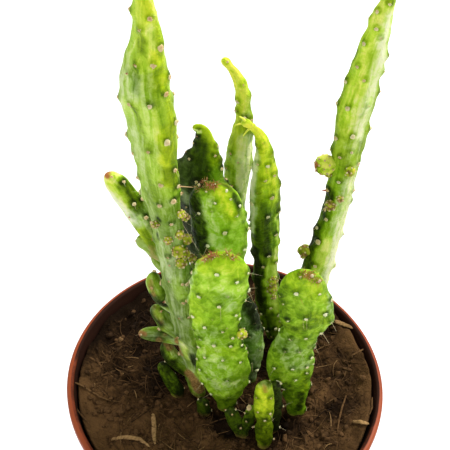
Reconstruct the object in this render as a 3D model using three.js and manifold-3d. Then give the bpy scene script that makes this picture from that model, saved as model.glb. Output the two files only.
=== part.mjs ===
// Potted paddle cactus: several rooted cuttings of a knobbly, many-shooted prickly pear in a
// round plastic nursery pot filled with coarse coir soil.
//
// Units are millimetres. +Z is up, the origin is the middle of the pot's underside, and -Y is the
// side the plant is shown from. Every stem is one solid: its joints, side shoots, buds, woolly
// areoles and spines are joined to it, and its foot stands in a plain hole in the soil.

import * as THREE from "three";
import { mergeVertices } from "three/addons/utils/BufferGeometryUtils.js";
import Module from "manifold-3d";

const wasm = await Module();
wasm.setup();

// ---------------------------------------------------------------- driving dimensions

const POT_HEIGHT = 95;
const POT_RIM_RADIUS = 60;
const POT_BASE_RADIUS = 42.5;
const POT_WALL = 1.5;
const LIP_WIDTH = 2.6;
const LIP_HEIGHT = 3.2;
const POT_FACETS = 48;
const DRAIN_HOLES = 6;
const DRAIN_RADIUS = 4;
const DRAIN_RING_RADIUS = 28;

const SOIL_LEVEL = 90;
const SOIL_LUMP = 1.3;
const FIT_GAP = 0.3;
const HOLE_GAP = 0.35;
const HOLE_TOP = 12;
const STRAW_COUNT = 14;

const AREOLE_GAP = 11;
const AREOLE_RADIUS = 0.95;
const AREOLE_RISE = 0.75;
const AREOLE_SINK = 0.9;
const SPINE_LENGTH = 4;
const SPINE_RADIUS = 0.3;
const SPINE_EVERY = 4;
const NEIGHBOUR_CLEARANCE = 0.5;

const SEED = 8435;

const COLOURS = {
  pot: "#c2532b",
  soil: "#3a2619",
  green: "#6ea71f",
  yellowGreen: "#8fc31f",
  pale: "#9fc25a",
  deep: "#4d7a24",
};

// ---------------------------------------------------------------- the stems
//
// A pad follows `path`, a list of [x, y, height above the soil, half width] chosen along its
// middle line. `face` turns its flat side about the line (0 looks to -Y, positive turns the right
// edge away), `flat` is its thickness over its width, and `edge` is the power of the section's
// outline: 2 is an ellipse, less is sharper at both margins. `tip` and `heel` are the lengths over
// which the ends round off. A keel is a blunt ridge along the pad, at an angle round the section.

const PAD_DEFAULTS = {
  face: 0, flat: 0.45, edge: 1.85, tip: 3, heel: 0, keel: 0, keelAt: -90, keelSpread: 38,
  sides: 12, ringGap: 8,
};
const SHOOT = { flat: 0.6, edge: 2, tip: 3, sides: 7, ringGap: 6 };

const STEMS = [
  {
    name: "tall_left_stem",
    colour: COLOURS.pale,
    pads: [
      {
        path: [
          [-9.5, -3.5, -13.5, 3], [-10.5, -4, 2, 3.2], [-12, -4, 21.5, 4.6], [-17, -4.5, 55, 5.5],
          [-21, -5, 86, 5.1], [-24.5, -5.5, 113, 6.2], [-26.7, -5.7, 137, 7.7],
          [-28.2, -6.2, 151.5, 7.4], [-27.6, -6.7, 166.5, 4.6], [-28, -7.5, 180, 2.8],
          [-28.5, -8, 191, 1.2],
        ],
        face: -12, flat: 0.55, keel: 0.42, keelAt: -66, tip: 2, ringGap: 9,
      },
      {
        ...SHOOT,
        path: [
          [-21.5, -4, 73.5, 2], [-26.5, -0.5, 79.5, 2.6], [-30.2, 2, 86.5, 3.7],
          [-33.2, 2.2, 92.8, 4.1], [-36.3, 2, 98.9, 4], [-39.1, 2, 103.7, 3.3],
          [-41.7, 1.8, 107.3, 1.7],
        ],
        tip: 2,
      },
      { ...SHOOT, path: [[-20.5, -3, 71.5, 2], [-27, -0.5, 76.5, 2.5], [-32, 0.8, 80.3, 2.2]] },
      { ...SHOOT, path: [[-19.5, -3.5, 65.5, 1.8], [-24, -1.5, 69.5, 2.1], [-27.3, 0, 72.8, 1.8]] },
      {
        ...SHOOT,
        path: [
          [-17, -3.5, 46.5, 2.2], [-23.5, -2, 52.5, 3.1], [-26.5, -1, 58.5, 3],
          [-27.2, -0.5, 63.5, 2.4],
        ],
      },
      {
        ...SHOOT,
        path: [
          [-15.5, -4, 33.5, 2], [-21.5, -2, 38, 2.9], [-25, -1, 42.5, 2.6], [-26.6, -1, 47.5, 2],
        ],
      },
      {
        ...SHOOT,
        path: [[-13.5, -4, 31, 2], [-21, -2, 32, 2.9], [-27.5, -1.5, 31.7, 2.7], [-32.4, -1, 31.2, 1.6]],
      },
      {
        ...SHOOT,
        path: [
          [-11.5, -4.5, 11.5, 2], [-17.5, -3.5, 17, 3.3], [-21, -3, 22.5, 3.2], [-23, -2, 28, 2.2],
        ],
      },
    ],
    buds: [
      { at: [0.5, -30], size: 1.4 }, { at: [0.5, 2], size: 1.3 }, { at: [0.475, -45], size: 1.4 },
      { at: [0.468, -14], size: 1.6 }, { at: [0.448, -36], size: 1.3 }, { at: [0.44, 2], size: 1.3 },
      { at: [0.52, -8], size: 1.2 }, { at: [0.41, -18], size: 1.2 },
    ],
  },
  {
    name: "front_left_stem",
    colour: COLOURS.yellowGreen,
    pads: [
      {
        path: [
          [0.5, -10, -13, 2.4], [0.5, -10.5, 1.5, 2.7], [0.2, -11, 11, 5.8], [-0.6, -11.8, 21, 8.8],
          [-1.4, -12.4, 30, 9.4], [-2.6, -13.2, 41, 8.1], [-4, -14, 51.5, 7.7],
          [-5.1, -14.8, 62, 8.1], [-4.8, -15.6, 71.5, 9], [-4, -16.3, 80, 9.1],
          [-3.6, -16.9, 87.5, 8.2], [-4, -17.5, 94.6, 7],
        ],
        flat: 0.42, tip: 8,
      },
    ],
    buds: [
      { at: [0.99, 110], size: 1.1 }, { at: [0.992, -70], size: 1 }, { at: [0.975, 178], size: 1 },
      { at: [0.975, 40], size: 0.9 }, { at: [0.545, -20], size: 1.6 },
    ],
  },
  {
    name: "centre_stem",
    colour: COLOURS.green,
    pads: [
      {
        path: [
          [9, 2.5, -14, 2.4], [9, 2.5, 3, 2.9], [7.7, 2, 13.5, 5.4], [6.5, 1.7, 24, 6.8],
          [5.3, 1.4, 33.5, 6.8], [3.9, 1, 43, 5.8], [2.1, 0.8, 51, 4.5], [0.7, 0.5, 57.5, 3.9],
        ],
        flat: 0.45, tip: 3,
      },
      {
        path: [
          [3.3, 1, 46, 3.1], [1.1, 0.6, 56, 3.9], [-1, 0.3, 64.5, 5], [-2.9, 0, 72, 6.8],
          [-4.2, -0.5, 80, 8.5], [-5.1, -1, 88, 9.2], [-6.3, -1.5, 97, 8.6], [-7.6, -1.8, 104, 7.7],
          [-8.8, -2, 110.2, 6.4],
        ],
        flat: 0.42, tip: 8,
      },
    ],
    buds: [
      { at: [0.99, 100], size: 1.1, pad: 1 }, { at: [0.992, -70], size: 1.1, pad: 1 },
      { at: [0.975, 178], size: 0.9, pad: 1 }, { at: [0.97, 60], size: 0.9, pad: 1 },
    ],
  },
  {
    name: "crested_stem",
    colour: COLOURS.deep,
    pads: [
      {
        path: [
          [-5.5, 13.5, -14, 2.6], [-5.5, 13.2, 3, 3], [-6, 13, 23, 3.9], [-7.6, 12.7, 43, 5.2],
          [-9.2, 12.5, 57, 6.3], [-10.4, 12.5, 68, 7.4], [-11.2, 12.5, 79, 8.6],
          [-12.3, 12.5, 89, 9.7], [-13.5, 12.5, 97, 9.8], [-13.6, 12.5, 103.5, 8.4],
          [-12.2, 12.5, 109.3, 5.6], [-11.4, 12.5, 114, 3.1], [-11.7, 12.5, 117.5, 2.1],
          [-13.2, 12.4, 119.5, 1.9], [-15.4, 12.1, 119.4, 1.7],
        ],
        face: -8, flat: 0.4, keel: 0.3, keelAt: -48, tip: 1.5,
      },
    ],
    buds: [],
  },
  {
    name: "back_hook_stem",
    colour: COLOURS.yellowGreen,
    pads: [
      {
        path: [
          [-1, 26, -14, 2.7], [-1, 26, 3, 3.2], [-1.2, 26.8, 25, 3.7], [-1.4, 27.4, 47, 3.7],
          [-0.9, 28, 67, 3.8], [-0.1, 28.3, 79, 4.4], [0.2, 28.6, 90.5, 4.9], [0.6, 28.8, 99, 4.6],
          [0.9, 29, 107, 3.3], [0.5, 29.2, 115, 2.4], [-0.6, 29.4, 122, 2],
          [-2.9, 29.5, 128, 1.6], [-7, 29.5, 133.5, 1],
        ],
        flat: 0.55, keel: 0.35, keelAt: -76, tip: 1.5, sides: 10,
      },
    ],
    buds: [],
  },
  {
    name: "slim_stem",
    colour: COLOURS.yellowGreen,
    pads: [
      {
        path: [
          [19.5, 25, -14, 3], [19, 24.6, 3, 3.5], [17, 23.9, 12.5, 4.2], [14.5, 22.9, 27, 4.4],
          [12.6, 21.6, 41, 4.3], [11.5, 20.4, 57, 4.6], [10.5, 19.2, 71, 5],
          [9.7, 18.1, 83.5, 5.1], [9, 17, 94, 4.6], [8.4, 16.2, 102, 3.5],
          [7.5, 15.5, 110.5, 2.2], [5.4, 15, 116.5, 1.6], [0.8, 14.2, 121.5, 1],
        ],
        flat: 0.6, keel: 0.35, keelAt: -112, tip: 1.2, sides: 10,
      },
    ],
    buds: [
      { at: [0.3, -88], size: 1.5 }, { at: [0.27, -70], size: 1.4 }, { at: [0.33, 5], size: 1.1 },
    ],
    leaves: [
      { from: [1.6, 14.2, 120.8], to: [-1.2, 13, 124.4] },
      { from: [2.4, 14.4, 120.3], to: [-2.8, 14.8, 118.6] },
      { from: [3.6, 14.6, 119.4], to: [0.4, 12.6, 116.2] },
    ],
  },
  {
    name: "front_right_stem",
    colour: COLOURS.green,
    pads: [
      {
        path: [
          [27, -10.5, -13, 2.4], [27, -10.5, 1.5, 2.9], [26.2, -10.5, 10.5, 4.1],
          [26, -10.8, 19, 4.4], [25.6, -11.5, 27, 3.9], [24.2, -12.4, 34, 3],
        ],
        flat: 0.6, sides: 10,
      },
      {
        path: [
          [22, -11.4, 17.5, 5.5], [22.6, -12, 24.5, 7.3], [22.4, -12.5, 32.5, 8.2],
          [22, -13, 40, 7.8], [22.6, -13.5, 47.5, 6.9], [24.2, -14, 55.5, 5.5],
        ],
        flat: 0.45, heel: 5, tip: 3,
      },
      {
        path: [
          [23.2, -13.6, 48, 4.7], [24.7, -14, 54.5, 6.5], [25.5, -14.5, 60.5, 8.4],
          [25, -14.9, 66.5, 8.7], [24, -15.3, 72.5, 8.5], [22.9, -15.7, 78.5, 7.8],
          [21.2, -16.4, 87.5, 5.5],
        ],
        flat: 0.42, tip: 7,
      },
    ],
    buds: [
      { at: [0.975, 80], size: 1.1, pad: 2 }, { at: [0.985, -80], size: 1.1, pad: 2 },
      { at: [0.955, 0], size: 1, pad: 2 },
    ],
    leaves: [{ from: [25, -15.8, 82.5], to: [27.3, -16, 86.3] }],
  },
  {
    name: "tall_right_stem",
    colour: COLOURS.green,
    pads: [
      {
        path: [
          [26, 19, -14, 2.8], [26.1, 19, 3, 3.4], [28, 20.1, 17, 4.7],
          [29.5, 21.3, 30, 5.4], [30.9, 22.4, 43.5, 5.7], [32.6, 23.7, 57, 5.2],
          [34.4, 25, 71, 4.6], [35.7, 26.5, 87, 4.5], [36.3, 28, 103.5, 5.3],
          [36.8, 29.3, 116, 5.7], [37.9, 30.6, 127, 5.5], [39.5, 31.9, 139, 4.6],
          [41, 33, 149, 3.4], [42.1, 33.9, 156, 2.4], [42.6, 34.5, 162, 1.1],
        ],
        flat: 0.6, keel: 0.35, keelAt: -92, tip: 1.5, ringGap: 9,
      },
    ],
    buds: [
      { at: [0.605, 182], size: 3.1, out: 0.5 }, { at: [0.582, 195], size: 1.4, out: 1.2 },
      { at: [0.378, 184], size: 2, out: 0.4 }, { at: [0.355, 186], size: 1.1, out: 0.6 },
      { at: [0.585, -60], size: 1.6 }, { at: [0.55, 180], size: 1.1, out: 0.9 },
      { at: [0.535, -75], size: 1.2 }, { at: [0.515, -120], size: 1.4 },
    ],
  },
  {
    name: "small_bright_stem",
    colour: COLOURS.yellowGreen,
    pads: [
      {
        path: [[15.5, -25, -12, 2.1], [15.4, -25, 1, 2.6], [14.8, -25.3, 9, 3.1], [14.3, -25.5, 19, 2.4]],
        flat: 0.65, edge: 2, sides: 8, ringGap: 6,
      },
      {
        path: [[14.4, -25.5, 14, 2.2], [14, -25.5, 21, 3.3], [13.6, -25.5, 28, 3.5], [13, -25.5, 39.5, 2.6]],
        flat: 0.55, edge: 2, tip: 4, sides: 8, ringGap: 6,
      },
    ],
    buds: [],
  },
  {
    name: "sprout_left",
    colour: COLOURS.green,
    pads: [
      {
        ...SHOOT,
        path: [[-17.5, -5.5, -12, 2], [-18, -5.5, 1, 2.5], [-20.3, -4.6, 7.5, 2.8], [-24.3, -3, 16.5, 2.1]],
      },
    ],
    buds: [],
  },
  {
    name: "sprout_inner",
    colour: COLOURS.deep,
    pads: [{ ...SHOOT, path: [[-7.5, -12.5, -11, 1.8], [-7.6, -13, 0, 2.3], [-8, -13.5, 10, 2.2]] }],
    buds: [],
  },
  {
    name: "sprout_front",
    colour: COLOURS.deep,
    pads: [
      {
        ...SHOOT,
        path: [[7.5, -22, -12, 2], [7.2, -21.8, 0, 2.5], [4.6, -20.5, 6, 2.8], [2, -19, 12.5, 2.2]],
      },
      { ...SHOOT, path: [[7, -21.7, 1.5, 1.7], [9, -21, 8, 2.1], [10.2, -20.4, 17, 1.8]], heel: 1.5 },
    ],
    buds: [{ at: [0.66, -60], size: 1.2 }],
  },
  {
    name: "sprout_right",
    colour: COLOURS.deep,
    pads: [
      {
        ...SHOOT,
        path: [
          [17.4, -19.3, -12, 2.2], [17.4, -19.3, 1, 2.8], [17.1, -19.6, 13, 3.7],
          [16.2, -20.3, 32.5, 3],
        ],
        flat: 0.45, tip: 4,
      },
    ],
    buds: [],
  },
];

// ---------------------------------------------------------------- small helpers

// A seeded stream of numbers from 0 to 1, so the plant is the same every time it is built.
function randomStream(seed) {
  let state = seed >>> 0;
  return () => {
    state = (state + 0x6d2b79f5) >>> 0;
    let mixed = Math.imul(state ^ (state >>> 15), state | 1);
    mixed = (mixed + Math.imul(mixed ^ (mixed >>> 7), mixed | 61)) ^ mixed;
    return ((mixed ^ (mixed >>> 14)) >>> 0) / 4294967296;
  };
}

function radians(degrees) {
  return (degrees * Math.PI) / 180;
}

function toSolid(geometry) {
  const plain = geometry.clone();
  plain.deleteAttribute("normal");
  plain.deleteAttribute("uv");
  const merged = mergeVertices(plain, 1e-4);
  const vertProperties = Float32Array.from(merged.attributes.position.array);
  const triVerts = Uint32Array.from(merged.index.array);
  return new wasm.Manifold(new wasm.Mesh({ numProp: 3, vertProperties, triVerts }));
}

function toGeometry(solid) {
  const mesh = solid.getMesh();
  const positions = new Float32Array(mesh.numVert * 3);
  for (let i = 0; i < mesh.numVert; i += 1) {
    for (let axis = 0; axis < 3; axis += 1) {
      positions[i * 3 + axis] = mesh.vertProperties[i * mesh.numProp + axis];
    }
  }
  const geometry = new THREE.BufferGeometry();
  geometry.setAttribute("position", new THREE.BufferAttribute(positions, 3));
  geometry.setIndex(new THREE.BufferAttribute(Uint32Array.from(mesh.triVerts), 1));
  geometry.computeVertexNormals();
  return geometry;
}

function joinAll(solids) {
  return solids.reduce((whole, solid) => whole.add(solid));
}

// A closed skin over rings of points that all have the same count, ended by one point each way.
function ringSkin(start, rings, end) {
  const sides = rings[0].length;
  const points = [start, ...rings.flat(), end];
  const last = points.length - 1;
  const faces = [];
  for (let k = 0; k < sides; k += 1) {
    const next = (k + 1) % sides;
    faces.push(0, 1 + next, 1 + k);
    for (let i = 0; i < rings.length - 1; i += 1) {
      const low = 1 + i * sides;
      const high = low + sides;
      faces.push(low + k, low + next, high + next, low + k, high + next, high + k);
    }
    const top = 1 + (rings.length - 1) * sides;
    faces.push(top + k, top + next, last);
  }
  const geometry = new THREE.BufferGeometry();
  const positions = points.flatMap((point) => [point.x, point.y, point.z]);
  geometry.setAttribute("position", new THREE.Float32BufferAttribute(positions, 3));
  geometry.setIndex(faces);
  return geometry;
}

// A cone whose base is sunk below a point of a surface and whose tip stands out of it.
function standingCone(point, direction, radius, rise, sink, sides) {
  const cone = new THREE.ConeGeometry(radius, rise + sink, sides);
  const turn = new THREE.Quaternion().setFromUnitVectors(new THREE.Vector3(0, 1, 0), direction);
  cone.applyQuaternion(turn);
  const middle = point.clone().addScaledVector(direction, (rise - sink) / 2);
  cone.translate(middle.x, middle.y, middle.z);
  return toSolid(cone);
}

// ---------------------------------------------------------------- the form of a pad

const STEPS_PER_SPAN = 8;

function smoothBetween(before, from, to, after, t) {
  return from.map((value, i) => {
    const slopeIn = (to[i] - before[i]) / 2;
    const slopeOut = (after[i] - value) / 2;
    const rise = to[i] - value;
    const square = 3 * rise - 2 * slopeIn - slopeOut;
    const cube = slopeIn + slopeOut - 2 * rise;
    return value + t * (slopeIn + t * (square + t * cube));
  });
}

// Points along a path, each with its half width, its distance from the start and a frame of
// three directions: along the pad, across its width and through its thickness.
function walkPath(path, face) {
  const rows = [];
  for (let span = 0; span < path.length - 1; span += 1) {
    const before = path[Math.max(span - 1, 0)];
    const after = path[Math.min(span + 2, path.length - 1)];
    for (let step = 0; step < STEPS_PER_SPAN; step += 1) {
      rows.push(smoothBetween(before, path[span], path[span + 1], after, step / STEPS_PER_SPAN));
    }
  }
  rows.push(path[path.length - 1]);

  const stations = rows.map(([x, y, height, half]) => {
    return { point: new THREE.Vector3(x, y, SOIL_LEVEL + height), half, s: 0 };
  });
  const across = new THREE.Vector3(Math.cos(radians(face)), Math.sin(radians(face)), 0);
  stations.forEach((station, i) => {
    const previous = stations[Math.max(i - 1, 0)];
    const next = stations[Math.min(i + 1, stations.length - 1)];
    station.s = previous.s + station.point.distanceTo(previous.point);
    station.along = next.point.clone().sub(previous.point).normalize();
    across.addScaledVector(station.along, -across.dot(station.along)).normalize();
    station.across = across.clone();
    station.through = station.along.clone().cross(across);
  });
  return stations;
}

function capScale(distance, length) {
  if (distance >= length) {
    return 1;
  }
  const short = 1 - Math.max(distance, 0) / length;
  return Math.sqrt(Math.max(1 - short * short, 0));
}

class Pad {
  constructor(options) {
    Object.assign(this, PAD_DEFAULTS, options);
    this.stations = walkPath(this.path, this.face);
    this.length = this.stations[this.stations.length - 1].s;
  }

  // The middle line, frame and half sizes at a distance from the pad's start.
  at(s) {
    const stations = this.stations;
    let high = stations.findIndex((station) => station.s >= s);
    high = high === -1 ? stations.length - 1 : Math.max(high, 1);
    const a = stations[high - 1];
    const b = stations[high];
    const t = (s - a.s) / (b.s - a.s);
    const ends = capScale(this.length - s, this.tip) * capScale(s, this.heel || 1e-6);
    const half = (a.half + (b.half - a.half) * t) * ends;
    return {
      point: a.point.clone().lerp(b.point, t),
      along: a.along.clone().lerp(b.along, t).normalize(),
      across: a.across.clone().lerp(b.across, t).normalize(),
      through: a.through.clone().lerp(b.through, t).normalize(),
      half,
      thick: half * this.flat,
    };
  }

  // How far the section reaches at an angle: x across the width, y through the thickness.
  section(angle, half, thick) {
    const power = 2 / this.edge;
    const cosine = Math.cos(angle);
    const sine = Math.sin(angle);
    const turn = angle - radians(this.keelAt);
    const off = Math.atan2(Math.sin(turn), Math.cos(turn)) / radians(this.keelSpread);
    const ridge = 1 + this.keel * Math.exp(-off * off);
    return {
      x: ridge * half * Math.sign(cosine) * Math.abs(cosine) ** power,
      y: ridge * thick * Math.sign(sine) * Math.abs(sine) ** power,
    };
  }

  surface(s, angle, grow = 0) {
    const here = this.at(s);
    const { x, y } = this.section(angle, here.half + grow, here.thick + grow);
    return here.point.addScaledVector(here.across, x).addScaledVector(here.through, y);
  }

  outward(s, angle) {
    const step = 0.3;
    const along = this.surface(s + step, angle).sub(this.surface(s - step, angle));
    const around = this.surface(s, angle + 0.05).sub(this.surface(s, angle - 0.05));
    return around.cross(along).normalize();
  }

  // Whether a point is inside the pad, or within a clearance of it.
  holds(point, clearance) {
    return this.stations.some((station) => {
      const offset = point.clone().sub(station.point);
      const reach = clearance + 1.5;
      if (Math.abs(offset.dot(station.along)) > reach) {
        return false;
      }
      const wide = station.half * (1 + this.keel * 0.5) + clearance;
      const thick = station.half * this.flat * (1 + this.keel) + clearance;
      return Math.hypot(offset.dot(station.across) / wide, offset.dot(station.through) / thick) < 1;
    });
  }

  // Distances of the rings: even along the body, closer where the ends round off.
  ringStops(from = 0) {
    const stops = [];
    const capRings = this.tip > 3 ? 4 : 2;
    if (this.heel > 0) {
      for (let i = 1; i <= 3; i += 1) {
        stops.push(this.heel * (1 - Math.cos((i / 4) * (Math.PI / 2))));
      }
    }
    const first = Math.max(this.heel, from);
    const last = this.length - this.tip;
    const count = Math.max(Math.round((last - first) / this.ringGap), 1);
    for (let i = 0; i <= count; i += 1) {
      stops.push(first + ((last - first) * i) / count);
    }
    for (let i = 1; i < capRings; i += 1) {
      stops.push(last + this.tip * Math.sin((i / capRings) * (Math.PI / 2)));
    }
    return stops;
  }

  skin() {
    const rings = this.ringStops().map((s) => {
      const ring = [];
      for (let k = 0; k < this.sides; k += 1) {
        ring.push(this.surface(s, (2 * Math.PI * k) / this.sides));
      }
      return ring;
    });
    return ringSkin(this.at(0).point, rings, this.at(this.length).point);
  }

  // The foot of the pad, grown all round: what the hole in the soil is cut with.
  footSkin(grow, top) {
    const foot = this.at(0);
    const base = foot.point.clone().addScaledVector(foot.along, -grow);
    const allStops = this.ringStops();
    const above = allStops.findIndex((s) => this.at(s).point.z > top);
    const stops = above === -1 ? allStops : allStops.slice(0, above + 1);
    const rings = stops.map((s, i) => {
      const ring = [];
      for (let k = 0; k < this.sides; k += 1) {
        const point = this.surface(s, (2 * Math.PI * k) / this.sides, grow);
        ring.push(i === 0 ? point.addScaledVector(foot.along, -grow) : point);
      }
      return ring;
    });
    return ringSkin(base, rings, this.at(stops[stops.length - 1]).point);
  }
}

// ---------------------------------------------------------------- stems with what grows on them

const stemPads = STEMS.map((stem) => stem.pads.map((options) => new Pad(options)));

// A spot is open when no other pad of its own stem covers it and no neighbour is in its way.
function isOpen(stemIndex, padIndex, point, clearance) {
  return !stemPads.some((pads, s) => pads.some((pad, p) => {
    if (s === stemIndex) {
      return p !== padIndex && pad.holds(point, 0.2);
    }
    return pad.holds(point, clearance);
  }));
}

// Areoles stand in rows round the pad, each row turned half a step from the last.
function areoleSpots(pad, random) {
  const spots = [];
  const rows = Math.max(Math.round((pad.length - 2) / AREOLE_GAP), 1);
  for (let row = 0; row <= rows; row += 1) {
    const s = 1.2 + ((pad.length - 2.2) * row) / rows;
    const here = pad.at(s);
    const girth = 2 * Math.PI * Math.hypot(here.half, here.thick) * Math.SQRT1_2;
    const count = Math.max(Math.round(girth / AREOLE_GAP), 2);
    for (let k = 0; k < count; k += 1) {
      const turn = k + (row % 2) / 2 + (random() - 0.5) * 0.35;
      const shift = (random() - 0.5) * AREOLE_GAP * 0.3;
      const place = Math.min(Math.max(s + shift, 0.8), pad.length - 0.8);
      spots.push({ s: place, angle: (2 * Math.PI * turn) / count });
    }
  }
  return spots;
}

function areolesAndSpines(stemIndex, pads, random) {
  const solids = [];
  let count = 0;
  pads.forEach((pad, padIndex) => {
    areoleSpots(pad, random).forEach(({ s, angle }) => {
      const point = pad.surface(s, angle);
      const direction = pad.outward(s, angle);
      const tip = point.clone().addScaledVector(direction, AREOLE_RISE);
      const aboveSoil = point.z > SOIL_LEVEL + SOIL_LUMP + AREOLE_RADIUS + 1;
      if (!aboveSoil || !isOpen(stemIndex, padIndex, tip, NEIGHBOUR_CLEARANCE + AREOLE_RADIUS)) {
        return;
      }
      solids.push(standingCone(point, direction, AREOLE_RADIUS, AREOLE_RISE, AREOLE_SINK, 4));
      count += 1;
      const spineTip = point.clone().addScaledVector(direction, SPINE_LENGTH);
      const spineMiddle = point.clone().addScaledVector(direction, SPINE_LENGTH / 2);
      const spineOpen = isOpen(stemIndex, -1, spineTip, NEIGHBOUR_CLEARANCE)
        && isOpen(stemIndex, -1, spineMiddle, NEIGHBOUR_CLEARANCE)
        && spineTip.z > SOIL_LEVEL + 4;
      if (count % SPINE_EVERY === 0 && spineOpen) {
        solids.push(standingCone(point, direction, SPINE_RADIUS, SPINE_LENGTH, AREOLE_SINK, 3));
      }
    });
  });
  return solids;
}

// A bud is a small blunt knob; `out` is how far its middle lies from the skin, over its size.
function budSolid(pads, bud) {
  const pad = pads[bud.pad ?? 0];
  const s = bud.at[0] * pad.length;
  const angle = radians(bud.at[1]);
  const direction = pad.outward(s, angle);
  const middle = pad.surface(s, angle).addScaledVector(direction, bud.size * (bud.out ?? 0.3));
  const knob = new THREE.SphereGeometry(bud.size, 7, 4);
  const turn = new THREE.Quaternion().setFromUnitVectors(new THREE.Vector3(0, 1, 0), direction);
  knob.applyQuaternion(turn);
  knob.translate(middle.x, middle.y, middle.z);
  return toSolid(knob);
}

function leafSolid({ from, to }) {
  const start = new THREE.Vector3(...from);
  const direction = new THREE.Vector3(...to).sub(start);
  start.z += SOIL_LEVEL;
  const length = direction.length();
  return standingCone(start, direction.normalize(), 0.8, length, 0.8, 4);
}

function stemMesh(stem, stemIndex) {
  const pads = stemPads[stemIndex];
  const random = randomStream(SEED + stemIndex);
  const solids = [
    ...pads.map((pad) => toSolid(pad.skin())),
    ...stem.buds.map((bud) => budSolid(pads, bud)),
    ...(stem.leaves ?? []).map(leafSolid),
    ...areolesAndSpines(stemIndex, pads, random),
  ];
  return namedMesh(stem.name, toGeometry(joinAll(solids)), stem.colour, 0.5);
}

// ---------------------------------------------------------------- pot and soil

function namedMesh(name, geometry, colour, roughness) {
  const material = new THREE.MeshStandardMaterial({ color: colour, roughness, metalness: 0 });
  const mesh = new THREE.Mesh(geometry, material);
  mesh.name = name;
  return mesh;
}

function potWallRadius(z) {
  const neck = POT_RIM_RADIUS - LIP_WIDTH;
  return POT_BASE_RADIUS + ((neck + POT_WALL - POT_BASE_RADIUS) * z) / POT_HEIGHT;
}

function turned(profile) {
  const lathe = new THREE.LatheGeometry(profile.map(([r, z]) => new THREE.Vector2(r, z)), POT_FACETS);
  return lathe.rotateX(Math.PI / 2);
}

function potMesh() {
  const lipBottom = POT_HEIGHT - LIP_HEIGHT;
  const round = 0.8;
  const heel = 2;
  const inner = POT_RIM_RADIUS - LIP_WIDTH;
  const profile = [
    [0, 0],
    [POT_BASE_RADIUS - heel, 0],
    [potWallRadius(heel), heel],
    [potWallRadius(lipBottom), lipBottom],
    [POT_RIM_RADIUS - round, lipBottom],
    [POT_RIM_RADIUS, lipBottom + round],
    [POT_RIM_RADIUS, POT_HEIGHT - round],
    [POT_RIM_RADIUS - round, POT_HEIGHT],
    [inner + round, POT_HEIGHT],
    [inner, POT_HEIGHT - round],
    [potWallRadius(POT_WALL * 2) - POT_WALL, POT_WALL * 2],
    [potWallRadius(POT_WALL) - POT_WALL * 2, POT_WALL],
    [0, POT_WALL],
  ];
  let body = toSolid(turned(profile));
  for (let i = 0; i < DRAIN_HOLES; i += 1) {
    const angle = (2 * Math.PI * i) / DRAIN_HOLES;
    const punch = new THREE.CylinderGeometry(DRAIN_RADIUS, DRAIN_RADIUS, POT_WALL * 4, 12);
    punch.rotateX(Math.PI / 2);
    punch.translate(DRAIN_RING_RADIUS * Math.cos(angle), DRAIN_RING_RADIUS * Math.sin(angle), POT_WALL);
    body = body.subtract(toSolid(punch));
  }
  return namedMesh("pot", toGeometry(body), COLOURS.pot, 0.45);
}

function soilHeight(x, y) {
  const coarse = Math.sin(x * 0.21 + 1.3) * Math.cos(y * 0.17 - 0.6);
  const fine = Math.sin(x * 0.47 - y * 0.39 + 2.1) * 0.6;
  return SOIL_LEVEL + SOIL_LUMP * 0.6 * (coarse + fine);
}

// Short straws of coir, lying half sunk in the top of the soil, away from the stems.
function strawSolids(random) {
  const solids = [];
  while (solids.length < STRAW_COUNT) {
    const radius = 14 + 38 * Math.sqrt(random());
    const turn = 2 * Math.PI * random();
    const length = 7 + 9 * random();
    const heading = Math.PI * random();
    const x = radius * Math.cos(turn);
    const y = radius * Math.sin(turn);
    const reach = length / 2 + 5;
    const nearStem = stemPads.some((pads) => {
      const foot = pads[0].path[1];
      return Math.hypot(foot[0] - x, foot[1] - y) < reach + foot[3];
    });
    if (nearStem || radius + length / 2 > potWallRadius(SOIL_LEVEL) - POT_WALL - 2) {
      continue;
    }
    const straw = new THREE.BoxGeometry(length, 1.1, 1.2);
    straw.rotateZ(heading);
    straw.translate(x, y, soilHeight(x, y));
    solids.push(toSolid(straw));
  }
  return solids;
}

function soilMesh() {
  const sides = POT_FACETS;
  const innerAt = (z) => potWallRadius(z) - POT_WALL - FIT_GAP;
  const bottom = POT_WALL + FIT_GAP;
  const ringAt = (radius, heightOf) => {
    const ring = [];
    for (let k = 0; k < sides; k += 1) {
      const angle = (2 * Math.PI * k) / sides;
      const x = radius * Math.cos(angle);
      const y = radius * Math.sin(angle);
      ring.push(new THREE.Vector3(x, y, heightOf(x, y)));
    }
    return ring;
  };
  const edge = innerAt(SOIL_LEVEL - SOIL_LUMP);
  const rings = [
    ringAt(innerAt(POT_WALL * 2) - POT_WALL, () => bottom),
    ringAt(innerAt(POT_WALL * 3), () => POT_WALL * 3),
    ringAt(edge - 0.2, (x, y) => soilHeight(x, y) - 1.5),
    ringAt(edge - 2, soilHeight),
    ringAt(edge * 0.78, soilHeight),
    ringAt(edge * 0.58, soilHeight),
    ringAt(edge * 0.38, soilHeight),
    ringAt(edge * 0.18, soilHeight),
  ];
  const middle = new THREE.Vector3(0, 0, soilHeight(0, 0));
  let body = toSolid(ringSkin(new THREE.Vector3(0, 0, bottom), rings, middle));
  body = joinAll([body, ...strawSolids(randomStream(SEED))]);
  stemPads.forEach((pads) => {
    body = body.subtract(toSolid(pads[0].footSkin(HOLE_GAP, SOIL_LEVEL + HOLE_TOP)));
  });
  return namedMesh("soil", toGeometry(body), COLOURS.soil, 0.95);
}

// ---------------------------------------------------------------- the whole object

const plant = new THREE.Group();
STEMS.forEach((stem, index) => plant.add(stemMesh(stem, index)));

const object = new THREE.Group();
object.add(potMesh(), soilMesh(), plant);

export default object;
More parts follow.
